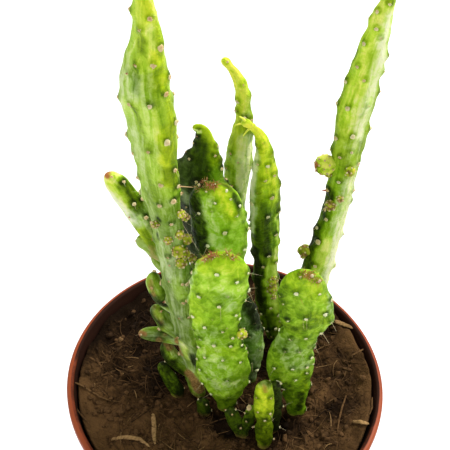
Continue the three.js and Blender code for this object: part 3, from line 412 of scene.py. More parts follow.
# Strokes painted on each stem, one on a line: mark, level, width and its points, or several marks
# on the same points. A later stroke lies over an earlier one of its mark. Besides the skin's own
# colouring, the tone strokes hold painted shade where the stems shade one another and painted light
# where the skin is brightly lit, the grey wax strokes also hold a painted sheen of grazing light,
# and the gold strokes also hold the painted glow of backlit tips.
STROKES = {
    "tall_left_stem": """
tone .78 5: 133 5, 132 30, 129 60, 127 90, 131 150, 140 190
bloom .45 5: 127 85, 130 120, 135 150, 143 195, 150 225, 160 260
tone .87 2.2: 134 2, 134 30, 132 52
gold .5 5: 141 2, 142 30, 146 55, 150 80
tone .56 1.6: 141 34, 139 48, 138 60
tone .5 2.2, lush .5 3: 136 72, 136 90
tone .82 1.8: 144 64, 146 80, 148 96
tone .92 2: 149 2, 150 14
gold 1 2.5: 149 2, 150 14, 156 40, 159 60, 163 75
tone 1 1.7: 150 24, 152 36, 154 48
gold .35 1.6: 151 28, 153 46
tone .72 1.8: 158 34, 161 50, 163 62
tone .6 2.4: 152 74, 153 90, 155 97
lush .5 3: 152 74, 155 96, 158 108
tone .73 1.4: 163 76, 165 88
gold 1 3.2: 168 100, 170 118, 172 140, 173 160, 172 180
tone .69 2.6: 167 103, 169 120
tone .39 .9: 134 107, 137 115, 142 127, 144 134
tone .45 .8: 152 102, 154 109
tone .65 .8: 124 68, 127 73, 129 77
tone .93 2.2: 125 103, 126 112
tone .85 2.8: 148 112, 150 128, 154 140
tone .78 3: 148 160, 154 172, 158 182
bloom .2 4: 148 112, 152 135, 156 170, 160 190
tone .7 1.4: 143 146, 152 148, 160 149
tone .6 2.4: 171 128, 173 142, 170 156
tone .42 2.4: 166 163, 172 176, 176 186
lush .5 4: 172 172, 178 205, 183 235, 189 265
tone .66 2: 163 186, 165 194
tone .62 3.4: 150 195, 154 215, 158 240
tone .48 3: 176 205, 180 225, 184 245
tone .58 3: 176 232, 182 252, 188 270
tone .22 .9: 157 219, 159 221
tone .2 .9: 157 236, 158 238
tone .03 .9: 170 252, 171 254
tone .26 .9: 175 196, 176 198
bloom .55 6: 158 225, 166 260, 172 300, 180 340, 190 365
tone .64 5: 162 250, 168 280, 174 310
tone .57 2: 164 275, 166 300, 170 320
tone .51 4: 178 290, 181 320, 186 345
tone .53 3: 174 325, 178 345
tone .91 2: 182 345, 186 358
gold .7 3: 183 345, 188 360
cork .75 1.3: 175 338, 178 345, 181 354
cork .95 3: 190 374, 195 384, 199 391
tone 1 4: 190 374, 199 391
tone .08 2: 193 357, 195 365
tone .91 4: 110 178, 124 195, 138 220
gold .7 3: 108 178, 118 190, 130 205
tone .95 2.2: 108 179, 112 186, 117 193
tone .99 2.4: 108 190, 116 201, 126 213, 136 224
bloom .75 2.2: 109 193, 118 205, 128 216, 138 227
tone .33 2.4: 124 184, 131 193, 137 203
tone .38 2.6: 138 206, 142 214, 145 222
lush .4 4: 124 184, 137 203, 143 218
blush .8 1.2: 104 172, 107 174
tone .56 3: 141 232, 147 238, 150 244
tone .63 1.2: 140 234, 143 240
gold .8 3: 140 233, 148 240
cork .5 2: 151 249, 155 258
cork .55 1.4: 150 282, 151 290, 153 296
tone .47 2: 158 275, 160 287, 161 297
tone .69 1.6: 154 286, 155 294
tone .97 1.6: 156 307, 158 316
cork .35 1.6: 156 307, 157 318
tone .42 2.2: 163 310, 166 320
blush .5 1.4: 140 331, 143 333
tone .49 1.8: 147 332, 152 333
bloom .5 2.4: 147 332, 155 333
tone .17 2.2: 160 335, 166 334
tone .53 3: 170 345, 176 356
tone .77 3: 176 282, 180 296
tone .04 2.4: 164 350, 170 362, 180 374
tone .03 2: 150 300, 152 312, 158 322
cork .4 1.4: 158 307, 160 318, 170 346, 176 352
tone .43 3: 182 368, 188 380
bloom 0 3.2: 152 28, 158 50, 164 78, 167 100, 168 125, 173 150, 174 182
bloom 0 2.2: 141 2, 142 30, 140 50, 138 66
bloom 0 1.8: 134 107, 140 122, 144 134
gold 1 2.4: 159 70, 161 96, 161 125, 168 150, 172 182
bloom 0 2.4, gold .6 2.4: 124 184, 131 193, 137 203
bloom 0 2: 141 232, 147 238, 150 244
tone .04 2: 156 358, 164 368, 176 376
tone .03 1.6: 150 302, 157 303, 163 305
tone .73 1.6, cork .4 1.6: 157 312, 159 318
tone .26 1.6: 140 336, 150 339, 162 338
tone .66 1.8: 168 346, 172 358
tone .95 1.8: 152 48, 154 62
tone .85 2: 138 56, 145 64
bloom 0 3: 160 350, 166 364, 178 378
tone .86 1.6: 139 219, 142 226
lush .5 2.6: 161 90, 161 110, 162 128, 164 140
gold .3 2: 161 96, 161 125
tone .78 2: 162 157, 166 164
tone .03 2, cork .5 2: 158 341, 164 344, 168 348
tone .03 2, cork .5 2: 156 364, 162 370, 168 374
tone .03 2: 171 373, 176 376, 180 382
bloom 0 3: 170 158, 173 180, 175 190
cork 0 2: 160 350, 166 364, 174 374
    """,
    "front_left_stem": """
tone .89 2.4: 203 266, 205 276, 206 287
tone .76 2: 212 263, 217 269
gold .7 4: 203 266, 215 262, 228 264, 240 272
tone .91 1.8: 226 261, 225 272, 223 282
tone .86 2: 236 266, 240 276
tone .64 1.5: 244 279, 245 288
tone .7 1.8: 211 281, 216 290
tone .94 2.6: 220 288, 230 289, 240 292
bloom .25 3: 220 290, 232 294, 243 294
tone .67 2: 204 298, 210 306, 214 312
tone .75 2.2: 194 296, 194 310, 196 326
gold .4 3: 193 292, 195 320
tone .71 2: 226 300, 232 308
bloom .4 3: 224 298, 232 308
tone .72 2: 208 316, 216 322
tone .85 1.6: 227 318, 233 326
tone .61 2.2: 206 330, 215 334, 222 338
tone .69 2: 228 310, 238 322
tone .73 1.8: 206 349, 218 350, 230 350
gold .5 3: 208 350, 232 352
tone .79 1.8: 212 360, 220 357
tone .7 2.2: 224 368, 234 366, 242 372
tone .86 2: 214 380, 222 386
tone 1 1.6: 234 384, 240 382
bloom .35 4: 208 378, 222 386, 238 384
tone .75 3: 206 388, 218 396, 230 398
tone .42 2: 216 402, 226 403
tone .89 .8, bloom .5 .8: 189.5 300, 190 288, 193 275, 198 265, 205 258.5
blush .35 1.2: 210 256, 216 256
blush .2 1: 232 256, 237 258
bloom .35 6: 210 335, 214 360, 220 385
tone .2 1: 246 327, 246.5 345
    """,
    "centre_stem": """
tone .1 3.4: 193 195, 193 215, 196 235, 203 250
tone .08 2.4: 200 195, 202 215, 204 240
tone .6 2: 206 190, 214 192
tone .82 2.6: 207 200, 211 215, 214 232, 216 244
bloom .4 3.5: 207 203, 212 222, 216 245
tone .98 2: 222 193, 226 202, 232 212
gold .95 3.2: 221 192, 227 203, 233 213
tone .86 1.4: 218 198, 222 207
tone .74 1.8: 222 216, 224 226
tone .78 2: 236 218, 240 232, 240 242
tone .75 1.6: 229 224, 232 240
tone .88 3: 222 250, 236 252
tone .59 1.2: 241 210, 246 220
tone .5 4: 246 300, 250 340, 252 378
tone .06 3: 254 300, 257 315, 262 328
tone .66 2.4: 258 335, 259 352
bloom .6 6: 250 310, 256 345, 254 375
tone .34 .9: 214 181, 222 183, 230 189, 236 197, 240 206
blush .2 .8: 222 184, 231 190
tone .22 1.4: 201 180, 208 179, 214 180
blush .35 1.2: 207 184, 212 184
    """,
    "crested_stem": """
tone .16 8: 184 158, 196 148, 204 150, 204 172, 190 185
tone .19 1: 190 155, 194 168, 196 180
tone .24 1: 200 148, 203 162, 205 178
tone .24 .9: 184 165, 185 185, 186 200
bloom .4 5: 182 165, 186 185
tone .18 4: 184 205, 187 230, 190 250
tone .57 2, bloom .9 2: 185 196, 190 202
bloom .85 5: 184 200, 187 225, 190 250
tone .59 2.2: 208 134, 213 145, 216 158, 218 172, 220 184
gold .9 2.6: 206 130, 213 145, 217 160
lush .4 2.4: 216 165, 220 184
tone .76 1.3: 205 128, 212 140, 217 150
tone .82 1.5: 193 124, 199 122, 205 126
gold .95 2.4: 191 125, 199 123, 207 129
tone 1 .8, bloom .6 .8: 193 131, 197 132, 201 133
blush .4 .8: 190.5 126, 191 128
    """,
    "back_hook_stem": """
tone 1 2: 226 62, 234 74, 240 90, 243 106
tone 1 1.1: 229 66, 232 72
gold .9 3: 226 62, 236 80, 241 100, 240 125, 238 145
tone .84 .9: 228 70, 234 84, 237 98
tone 1 1.4: 246 96, 247 112
bloom .4 1.6: 248 98, 249 115
tone .84 1.4: 237 104, 234 120, 231 132
tone .76 2: 238 132, 238 150, 236 162
tone .55 2: 229 140, 228 160, 230 180
lush .5 3: 229 150, 229 175
tone 1 1.8: 245 140, 243 160, 241 180
bloom .7 3.2: 248 140, 245 165, 242 190, 243 205
tone 1 2.4: 241 185, 242 200
tone 1 .9: 251 145, 249 165, 247 180
tone .03 2: 231 190, 235 200
    """,
    "slim_stem": """
tone 1 2.2: 243 122, 248 127, 253 129
gold .7 3: 242 122, 250 127
tone 1 1.8: 254 128, 261 137, 267 147
gold 1 4: 253 128, 262 140, 268 160, 270 182, 272 200
lush .35 3: 266 158, 269 180, 270 200
tone .9 2.2: 267 150, 268 165, 269 180
tone .93 1.4: 274 165, 276 185, 277 200
tone .77 1.8: 266 190, 267 205
lush .6 3: 267 188, 270 215, 272 245
tone .59 2.4: 261 196, 260 214
tone .43 1.6: 265 206, 266 218
tone .08 2.6: 269 221, 269 238, 267 252
tone .3 1.4: 258 224, 258 245
tone .8 3.2: 268 270, 269 290, 270 320
tone .12 1.6: 258 262, 260 285, 262 315
tone .52 1.4: 274 205, 275 228, 275 258
tone 1 .8: 278 214, 278 232, 277 258
tone .89 1.6: 275 266, 276 300, 276 330
tone 1 1.5: 254 152, 253 175, 252 205, 252 232
bloom .85 1.7: 254 150, 253 175, 252 205, 252 236
tone 1 .6: 252 160, 250 178, 250 200
tone .05 2: 254 250, 255 270, 258 300
tone .28 3: 268 318, 270 335
    """,
    "front_right_stem": """
tone .69 3: 292 280, 302 282, 312 284
gold .7 5: 292 280, 308 284, 320 294
tone .76 2: 308 288, 316 292, 322 299
tone .43 1.8: 283 288, 283 305, 285 318
tone .63 2.4: 294 302, 304 306, 314 308
tone .52 1: 292 292, 297 302, 303 313
tone .69 .9: 304 296, 309 306
tone .77 1.4: 318 304, 325 310
tone .53 2: 312 318, 320 322
gold .7 2.4: 312 317, 322 321
tone .31 2.4: 286 326, 296 330, 306 328
lush .5 4: 286 326, 306 330
tone .48 3: 282 342, 294 344
tone .62 2.2: 298 346, 306 352, 302 360
bloom .3 5: 284 344, 300 350, 302 362
tone .48 2.4: 274 350, 271 365, 276 374
tone .51 3: 286 360, 292 372
tone .48 1.4: 306 373, 307 384, 306 392
gold .8 1.8: 306 373, 307 390
tone .62 4: 288 388, 293 402, 297 414
tone .31 3: 286 386, 290 400, 293 414
tone .67 .8: 327 297, 330 304, 331.5 312, 331 320, 324 330
bloom .5 .8: 328 297, 330 304, 331.5 312, 331 320
blush .35 1.2: 307 275, 312 276
bloom .4 5: 284 345, 292 358, 300 366
tone .47 2.2: 289 392, 290 404, 291 414
tone .14 1.4: 300 394, 301 402, 299 410
    """,
    "tall_right_stem": """
tone .9 3: 381 6, 372 30, 361 58, 351 88, 345 116
gold .55 4.4: 383 5, 372 34, 360 64, 350 96, 344 124
lush .5 3.2: 371 34, 359 64, 350 96, 344 124
tone .93 1.1: 380 16, 372 40, 366 55
tone .96 1.2: 350 90, 348 98
tone .69 1.5: 370 56, 364 72, 358 88, 352 104
tone .84 .9: 362 40, 356 56, 351 72
tone .76 1.4: 342 110, 340 124, 342 134
tone .99 2.8: 391 14, 384 44, 376 78, 368 108, 360 136
bloom .65 3: 390 20, 383 52, 375 84, 367 114, 358 146
gold .2 2.6: 391 14, 384 44, 376 78, 368 108
tone .62 .7: 367 96, 365 106, 361 118
tone .91 1.6: 358 104, 353 120, 350 132
bloom .4 2: 358 104, 352 126
tone .68 2.4: 341 142, 343 152, 338 166
tone .86 1.8: 354 146, 354 162, 352 180
bloom .35 3: 354 146, 352 184
tone .56 1.6: 330 176, 327 190
tone .14 2.4: 327 195, 321 213, 315 233, 308 255, 303 268
tone .22 3: 322 205, 317 225, 311 245, 307 266
tone .05 1.6: 333 190, 330 198, 327 205
lush .6 4: 334 172, 330 190, 330 215, 326 232
tone .71 2: 338 176, 338 190
tone .7 2.2: 337 206, 336 222, 333 234
tone .99 2.6: 350 186, 346 206, 342 226, 337 250, 330 275
bloom .7 4: 350 186, 345 210, 340 235, 333 262, 326 285
tone .62 1.8: 328 226, 326 236
tone 1 2.4: 328 242, 326 256, 322 272
tone .76 1.8: 317 252, 316 268
tone .72 2.4: 320 270, 322 284
tone .99 2.4: 334 265, 330 290
tone .74 2: 340 190, 336 205
tone .95 2.4: 362 60, 366 90, 352 120
tone .1 1.2: 313 232, 308 246, 303 262
    """,
    "small_bright_stem": """
tone .48 2.4: 262 382, 268 383
bloom .4 2.4: 262 382, 268 384
tone .85 2.2: 264 392, 264 402, 263 410
gold 1 3: 264 392, 264 410
tone .72 1.4: 264 388, 265 393
blush .5 1.3: 264 386, 265 392
tone .94 1: 265 399, 264 405
tone .63 1.4: 271 396, 271 408
tone .37 4: 264 424, 265 434, 266 444
    """,
    "sprout_left": """
tone .29 2: 166 374, 168 386
tone .05 1.8: 163 366, 168 372
tone .28 2: 172 380, 175 390
tone .3 1.6: 168 392, 172 398
    """,
    "sprout_front": """
tone .85 1.4: 247 402, 247 407
    """,
}

MARKS = ("tone", "gold", "lush", "bloom", "cork", "blush")

# Darker and lighter patches of the soil: x y, radius and change of tone; damp and drier coir, with
# painted shadow where the stems shade the soil.
SOIL_PATCHES = (
    "105 315 14 -.2, 150 310 16 -.4, 155 350 12 -.2, 145 385 10 -.1, 90 345 8 -.1,"
    "110 405 15 .3, 160 425 14 .5, 78 388 8 .5, 336 405 8 -.3, 345 320 5 -.3, 330 350 8 .2,"
    "213 426 6 -.8, 196 402 5 -.6, 120 442 12 .4, 195 430 8 .7, 184 393 7 .3, 368 395 8 .2,"
    "330 335 6 -.3, 340 362 8 -.25, 322 392 6 .45, 315 405 6 .4, 282 425 6 -.6, 350 334 6 .8,"
    "361 354 6 .1, 369 380 6 .4, 368 412 6 .3, 268 345 5 -.7, 264 368 4 -.7, 301 394 4 -.8,"
    "310 432 7 .35, 176 416 5 -.5, 237 414 4 -.5, 251 432 6 -.6, 228 434 5 -.5,"
    "276 440 5 -.5, 333 412 6 -.5, 357 402 5 -.35, 302 425 4 -.4, 317 332 6 -.2,"
    "324 350 5 .3, 343 392 5 .2, 343 342 6 -.3, 160 388 6 -.5, 142 384 6 -.3, 158 366 4 -.6,"
    "176 376 5 -.6, 215 446 5 1, 285 446 6 .4, 118 443 9 .4, 250 447 6 .3, 345 432 6 .3,"
    "78 398 8 .5, 95 432 9 .5, 130 444 9 .4"
)

# Litter that the photograph shows on the soil: half width, thickness, tone and its points.
NAMED_LITTER = """
.45 .8 .62: 73 383, 82 387, 92 393, 100 398, 110 401, 122 402
.35 .8 .5: 68 402, 76 409, 84 419, 92 428
1.1 .3 .95: 153 415, 154 425, 154 436, 155 446
1.1 .5 .95: 112 441, 126 438, 140 440, 150 448
1.3 .4 .8: 334 322, 343 326, 353 330
1.1 .5 .88: 353 423, 362 423, 369 425
.45 .8 .5: 346 396, 342 408, 339 420, 337 434
.35 .8 .45: 362 338, 366 346, 368 352
.5 .6 .55: 352 356, 360 352, 366 349
.6 .6 .42: 90 358, 98 362, 104 372
.4 .8 .4: 372 398, 372 408, 369 416
"""


# ---- what a user may change


def a_length(name, what, default):
    """A length in metres."""
    return FloatProperty(name=name, description=what, default=default, unit="LENGTH", precision=4)


def a_colour(name, what, default):
    """A colour in linear light."""
    return FloatVectorProperty(name=name, description=what, default=default, subtype="COLOR")


class CactusPotSizes(bpy.types.PropertyGroup):
    """Sizes and colour of the nursery pot"""

    height: a_length("Height", "From the base to the top of the lip", 0.095)
    rim_radius: a_length("Rim radius", "Outer radius of the lip", 0.06)
    base_radius: a_length("Base radius", "Outer radius of the wall at the base", 0.0425)
    wall: a_length("Wall", "Thickness of the wall", 0.0015)
    lip_width: a_length("Lip width", "Width of the lip seen from above", 0.0026)
    lip_height: a_length("Lip height", "Height of the lip's outer edge", 0.0032)
    plastic: a_colour("Plastic", "Colour of the moulded plastic", (0.31, 0.058, 0.016))
    # The pale outer edge of the lip is a painted highlight.
    worn: a_colour("Worn edge", "Colour of the lip's pale outer edge", (0.33, 0.075, 0.024))
    # This colour is soil dust together with painted shade on the inner wall and the lip's inner
    # edge.
    stain: a_colour("Stain", "Colour of the damp dust on the inner wall", (0.010, 0.004, 0.0015))


class CactusSoilLook(bpy.types.PropertyGroup):
    """What the coir soil is made of"""

    crumbs: IntProperty(name="Crumbs", description="Loose crumbs on the soil", default=1500)
    fibres: IntProperty(name="Fibres", description="Coir fibres on the soil", default=1300)
    chips: IntProperty(name="Chips", description="Flat chips of bark and husk", default=55)
    # The dark coir colour also shows the painted shade by the wall and among the stems.
    dark: a_colour("Dark coir", "Colour of the moist hollows", (0.010, 0.005, 0.002))
    light: a_colour("Light coir", "Colour of the drier crumbs", (0.13, 0.067, 0.025))
    straw: a_colour("Straw", "Colour of the palest fibres", (0.42, 0.25, 0.10))


class CactusSkinLook(bpy.types.PropertyGroup):
    """Relief and tints of the grown skin"""

    tubercle: a_length("Tubercle height", "How far the skin swells under an areole", 0.0008)
    sway: a_length("Unevenness", "How far the skin wanders from its even form", 0.0005)
    # The young tint also colours the painted glow of backlit tips.
    gold: a_colour("Young tint", "What yellow does to the green of young skin", (1.1, 0.98, 0.2))
    lush: a_colour("Lush tint", "What deep fresh green does to the skin", (0.8, 1.0, 0.35))
    cork: a_colour("Cork", "Corky scars near the foot", (0.50, 0.30, 0.09))
    blush: a_colour("Blush", "Red of growing tips", (0.50, 0.15, 0.06))


class CactusAreoleLook(bpy.types.PropertyGroup):
    """Areoles, bristles and spines"""

    gap: a_length("Gap", "Distance from one areole to the next", 0.0075)
    spine: a_length("Spine", "Length of a long spine", 0.0045)
    white_wool: a_colour("White wool", "Colour of the freshest wool", (0.92, 0.95, 0.60))
    tan_wool: a_colour("Tan wool", "Colour of old wool", (0.62, 0.40, 0.13))
    bristle: a_colour("Bristle", "Red brown of the barbed bristles", (0.36, 0.12, 0.04))
    straw_spine: a_colour("Pale spine", "Colour of the long spines", (0.62, 0.60, 0.36))
    orange_spine: a_colour("Orange bristle", "Colour of middling bristles", (0.62, 0.34, 0.12))
    red_spine: a_colour("Red bristle", "Colour of the bristles of young tips", (0.60, 0.12, 0.08))


class CactusStageLook(bpy.types.PropertyGroup):
    """The studio: floor and lights"""

    floor: a_colour("Floor", "Colour of the floor", (0.93, 0.93, 0.93))
    glow: FloatProperty(name="Glow", description="Light that the floor gives", default=0.3)
    surround: FloatProperty(name="Surround", description="Strength of the surround", default=0.56)
    key: FloatProperty(
        name="Key light", description="Power of the large light from the back right", default=9.5,
        subtype="POWER",
    )
    fill: FloatProperty(
        name="Fill light", description="Power of the soft light from the front left", default=1.8,
        subtype="POWER",
    )


LOOKS = {
    "cactus_pot": CactusPotSizes,
    "cactus_soil": CactusSoilLook,
    "cactus_skin": CactusSkinLook,
    "cactus_areoles": CactusAreoleLook,
    "cactus_stage": CactusStageLook,
}


# ---- uneven growth


# Large odd numbers that part neighbouring cells and seeds, and the bits that are kept.
CELL_STEPS = np.array([374761393, 668265263, 1440662683])
SEED_STEP = 1274126177
WORD, HALF_WORD = 0xFFFFFFFF, 0xFFFF


def cell_chance(cells, seed):
    """A steady pseudo-random number from 0 to 1 for each whole-numbered cell."""
    mixed = (cells @ CELL_STEPS + seed * SEED_STEP) & WORD
    mixed = ((mixed ^ (mixed >> 13)) * SEED_STEP) & WORD
    return ((mixed ^ (mixed >> 16)) & HALF_WORD) / HALF_WORD


def lumps(points, size, seed):
    """Smooth bumps of about one size, from 0 to 1, at points in space."""
    scaled = np.asarray(points, float).reshape(-1, 3) / size
    cells = np.floor(scaled).astype(np.int64)
    part = scaled - cells
    part = part * part * (3 - 2 * part)
    total = np.zeros(len(scaled))
    for corner in range(8):
        step = np.array([corner & 1, (corner >> 1) & 1, corner >> 2])
        weight = np.prod(np.where(step, part, 1 - part), axis=1)
        total += weight * cell_chance(cells + step, seed)
    return total


def rough(points, size, seed, layers=3):
    """Bumps of several sizes together, from -1 to 1."""
    total, share, full = 0.0, 1.0, 0.0
    for layer in range(layers):
        total = total + share * (2 * lumps(points, size / 2**layer, seed + layer) - 1)
        full += share
        share *= 0.5
    return total / full


def unit(vectors):
    """Vectors at length 1."""
    length = np.linalg.norm(vectors, axis=-1, keepdims=True)
    return vectors / np.maximum(length, 1e-9)


def ramp(values, low, high):
    """0 at low, 1 at high, and smooth between."""
    part = np.clip((values - low) / (high - low), 0, 1)
    return part * part * (3 - 2 * part)


# ---- the form of a pad


class Pad:
    """One joint of the plant: a flattened, tapering body round a smooth middle line."""

    # Steps between two rows of a path, and half the height of a slice of the pad.
    STEPS, SLICE = 16, 1.0
    # How far apart the points are that give the skin's slope, along the pad and round it.
    PROBE_LENGTH, PROBE_TURN = 0.3, 0.05
    HEEL_RINGS, TIP_RINGS_PER_MM = 9, 1.6

    def __init__(self, path, form):
        for key, value in {**PAD_FORM, **form}.items():
            setattr(self, key, value)
        rows = self._walk(np.array(rows_of(path)))
        self.points = rows[:, :3] + [0, 0, SOIL_LEVEL]
        self.halves = rows[:, 3]
        steps = np.linalg.norm(np.diff(self.points, axis=0), axis=1)
        self.stops = np.concatenate([[0], np.cumsum(steps)])
        self.length = self.stops[-1]
        self._frames()

    def _walk(self, path):
        """Points of a smooth curve through a path's rows."""
        rows = []
        last = len(path) - 1
        for span in range(last):
            before, start = path[max(span - 1, 0)], path[span]
            end, after = path[span + 1], path[min(span + 2, last)]
            leaving, arriving = (end - before) / 2, (after - start) / 2
            rise = end - start
            for step in range(self.STEPS):
                t = step / self.STEPS
                square = 3 * rise - 2 * leaving - arriving
                cube = leaving + arriving - 2 * rise
                rows.append(start + t * (leaving + t * (square + t * cube)))
        rows.append(path[-1])
        return np.array(rows)

    def _frames(self):
        """Sets the directions along, across and through the pad at each point of its line."""
        before = np.concatenate([self.points[:1], self.points[:-1]])
        after = np.concatenate([self.points[1:], self.points[-1:]])
        self.alongs = unit(after - before)
        face = math.radians(self.face)
        across = np.array([math.cos(face), math.sin(face), 0.0])
        crossways = []
        for along in self.alongs:
            across = unit(across - along * (across @ along))
            crossways.append(across)
        self.acrosses = np.array(crossways)
        self.throughs = np.cross(self.alongs, self.acrosses)

    def between(self, rows, s):
        """Rows of the middle line, such as its directions, at distances from the start."""
        return np.stack([np.interp(s, self.stops, rows[:, i]) for i in range(3)], axis=-1)

    def reach(self, s):
        """The half width at distances from the pad's start."""
        ends = np.ones_like(s)
        for distance, length in ((self.length - s, self.tip), (s, self.heel or 1e-6)):
            short = 1 - np.clip(distance, 0, length) / length
            ends = ends * np.sqrt(np.maximum(1 - short * short, 0))
        return np.interp(s, self.stops, self.halves) * ends

    def surface(self, s, angle):
        """Points of the skin at distances along the pad and angles round it."""
        s, angle = np.asarray(s, float), np.asarray(angle, float)
        half = self.reach(s)
        power = 2 / self.edge
        cosine, sine = np.cos(angle), np.sin(angle)
        turn = angle - math.radians(self.keel_at)
        off = np.arctan2(np.sin(turn), np.cos(turn)) / math.radians(self.keel_spread)
        ridge = 1 + self.keel * np.exp(-off * off)
        x = ridge * half * np.sign(cosine) * np.abs(cosine) ** power
        y = ridge * half * self.flat * np.sign(sine) * np.abs(sine) ** power
        across, through = self.between(self.acrosses, s), self.between(self.throughs, s)
        return self.between(self.points, s) + across * x[..., None] + through * y[..., None]

    def outward(self, s, angle):
        """Directions straight out of the skin."""
        s, angle = np.asarray(s, float), np.asarray(angle, float)
        low = np.maximum(s - self.PROBE_LENGTH, 0.0)
        high = np.minimum(s + self.PROBE_LENGTH, self.length)
        lengthwise = self.surface(high, angle) - self.surface(low, angle)
        around = self.surface(s, angle + self.PROBE_TURN) - self.surface(s, angle - self.PROBE_TURN)
        return unit(np.cross(around, lengthwise))

    def holds(self, points, clearance):
        """Which points are inside the pad or within a clearance of it."""
        offset = points[:, None, :] - self.points[None, :, :]
        along, x, y = (
            np.einsum("mnk,nk->mn", offset, ways)
            for ways in (self.alongs, self.acrosses, self.throughs)
        )
        x = x / (self.halves * (1 + 0.5 * self.keel) + clearance)
        y = y / (self.halves * self.flat * (1 + self.keel) + clearance)
        near = np.abs(along) < self.SLICE + clearance
        return np.any(near & (x * x + y * y < 1), axis=1)

    def rings(self, gap):
        """Distances of the skin's rings: even along the body, closer where the ends round off."""
        last = self.length - self.tip
        body = np.linspace(self.heel, last, max(int(round((last - self.heel) / gap)), 2))
        quarter = math.pi / 2
        heel = np.linspace(0, quarter, self.HEEL_RINGS)[1:-1] if self.heel else np.zeros(0)
        tip = np.linspace(0, quarter, 3 + int(self.tip * self.TIP_RINGS_PER_MM))[1:-1]
        return np.concatenate([self.heel * (1 - np.cos(heel)), body, last + self.tip * np.sin(tip)])


@cache
def pads_of(stem_name):
    """The pads of a stem."""
    return tuple(Pad(path, form) for path, form in STEMS[stem_name]["pads"])


# The net of visible skin: its gap along a pad, its points round it, and how far they must face.
NET_GAP, NET_SIDES, LEAST_FACING = 0.5, 120, 0.04


@cache
def facing_spots(stem_name):
    """A fine net of skin points that face the camera: their rows, pixels and depths."""
    found = []
    for index, pad in enumerate(pads_of(stem_name)):
        s = np.arange(0.4, pad.length - 0.1, NET_GAP)
        angle = np.linspace(-math.pi, math.pi, NET_SIDES, endpoint=False)
        s, angle = (grid.ravel() for grid in np.meshgrid(s, angle, indexing="ij"))
        place, out = pad.surface(s, angle), pad.outward(s, angle)
        facing = facing_camera(place, out) > LEAST_FACING
        facing &= place[:, 2] > SOIL_LEVEL - 1
        for other_index, other in enumerate(pads_of(stem_name)):
            if other_index != index:
                facing &= ~other.holds(place, 0.05)
        rows = np.stack([np.full(len(s), index), s, angle], axis=1)[facing]
        found.append(np.concatenate([rows, place[facing]], axis=1))
    spots = np.concatenate(found)
    return spots, to_photo(spots[:, 3:6]), (spots[:, 3:6] - CAMERA_AT) @ FORWARD


@cache
def spot_under(stem_name, x, y):
    """The nearest skin of a stem at a point of the photograph: pad, distance, angle, place."""
    spots, seen, depth = facing_spots(stem_name)
    miss = np.sum((seen - [x, y]) ** 2, axis=1)
    close = miss <= max(1.5 * np.min(miss), 1.2)
    pad, s, angle, *place = spots[np.argmin(np.where(close, depth, np.inf))]
    return int(pad), s, angle, np.array(place)


def skin_at(stem_name, x, y):
    """The place and outward direction of the skin at a point of the photograph."""
    pad, s, angle, place = spot_under(stem_name, x, y)
    return place, pads_of(stem_name)[pad].outward(np.array([s]), np.array([angle]))[0]


# ---- where the areoles stand


# How far spread areoles stray, and how near two may stand, spread or listed: parts of their gap.
JITTER, LEAST_GAP, LEAST_LISTED_GAP = 0.3, 0.62, 0.1
# The least height over the soil of an areole, and how squarely a spread one may face the camera
# on a stem whose visible areoles are listed.
AREOLE_HEIGHT, MOST_FACING = 2.0, 0.1


def spread_rows(pads, gap, random):
    """Areoles spread evenly over pads, each a little out of line: pad, distance, angle, scale."""
    rows = []
    for index, pad in enumerate(pads):
        lines = max(int(round((pad.length - 2) / gap)), 1)
        for line in range(lines + 1):
            s = 1.2 + (pad.length - 2.0) * line / lines
            half = float(pad.reach(np.array(min(s, pad.length - 0.8))))
            girth = 2 * math.pi * math.hypot(half, half * pad.flat) * math.sqrt(0.5)
            count = max(int(round(girth / gap)), 3)
            for k in range(count):
                turn = k + (line % 2) / 2 + (random.random() - 0.5) * JITTER
                shifted = s + (random.random() - 0.5) * gap * JITTER
                shifted = min(max(shifted, 0.8), pad.length - 0.5)
                angle = 2 * math.pi * turn / count
                rows.append([index, shifted, angle, 0.8 + 0.4 * random.random()])
    return rows


def standing_free(stem_name, rows, places, outs):
    """Which areoles stand outside every other pad, of their own stem and of the others."""
    free = np.ones(len(rows), bool)
    for other_name in STEMS:
        for index, pad in enumerate(pads_of(other_name)):
            if other_name != stem_name:
                free &= ~pad.holds(places + outs * 0.8, 0.7)
            else:
                free &= (rows[:, 0] == index) | ~pad.holds(places + outs * 0.4, 0.3)
    return free


@cache
def areoles_of(stem_name):
    """Every areole of a stem: rows of pad, distance, angle and scale, and places, outs and ups."""
    pads, listed = pads_of(stem_name), rows_of(STEMS[stem_name].get("areoles", ""))
    gap = bpy.context.scene.cactus_areoles.gap / MM
    random = np.random.default_rng(SEED + list(STEMS).index(stem_name))
    rows = [[*spot_under(stem_name, x, y)[:3], scale] for x, y, scale in listed]
    rows = np.array(rows + spread_rows(pads, gap, random))
    places, outs, ups = (np.zeros((len(rows), 3)) for _ in range(3))
    for index, pad in enumerate(pads):
        own = rows[:, 0] == index
        places[own] = pad.surface(rows[own, 1], rows[own, 2])
        outs[own] = pad.outward(rows[own, 1], rows[own, 2])
        ups[own] = pad.between(pad.alongs, rows[own, 1])
    keep = standing_free(stem_name, rows, places, outs)
    keep &= places[:, 2] > SOIL_LEVEL + AREOLE_HEIGHT
    if listed:
        keep[len(listed):] &= facing_camera(places, outs)[len(listed):] < MOST_FACING
    kept = []
    for i in np.flatnonzero(keep):
        spacing = gap * (LEAST_GAP if i >= len(listed) else LEAST_LISTED_GAP)
        if all(np.sum((places[i] - places[j]) ** 2) > spacing**2 for j in kept):
            kept.append(i)
    return rows[kept], places[kept], outs[kept], ups[kept]


@cache
def buds_of(stem_name):
    """Every bud of a stem: its middle, outward direction, radius and stretch."""
    found = []
    for x, y, radius, *stretch in rows_of(STEMS[stem_name].get("buds", "")):
        place, out = skin_at(stem_name, x, y)
        offset = at_depth_of(place, x, y) + out * 0.25 * radius - place
        reach = radius * 0.92
        if np.linalg.norm(offset) > reach:
            offset = unit(offset) * reach
        found.append((place + offset, out, radius, stretch[0] if stretch else 1.0))
    return found


# ---- meshes


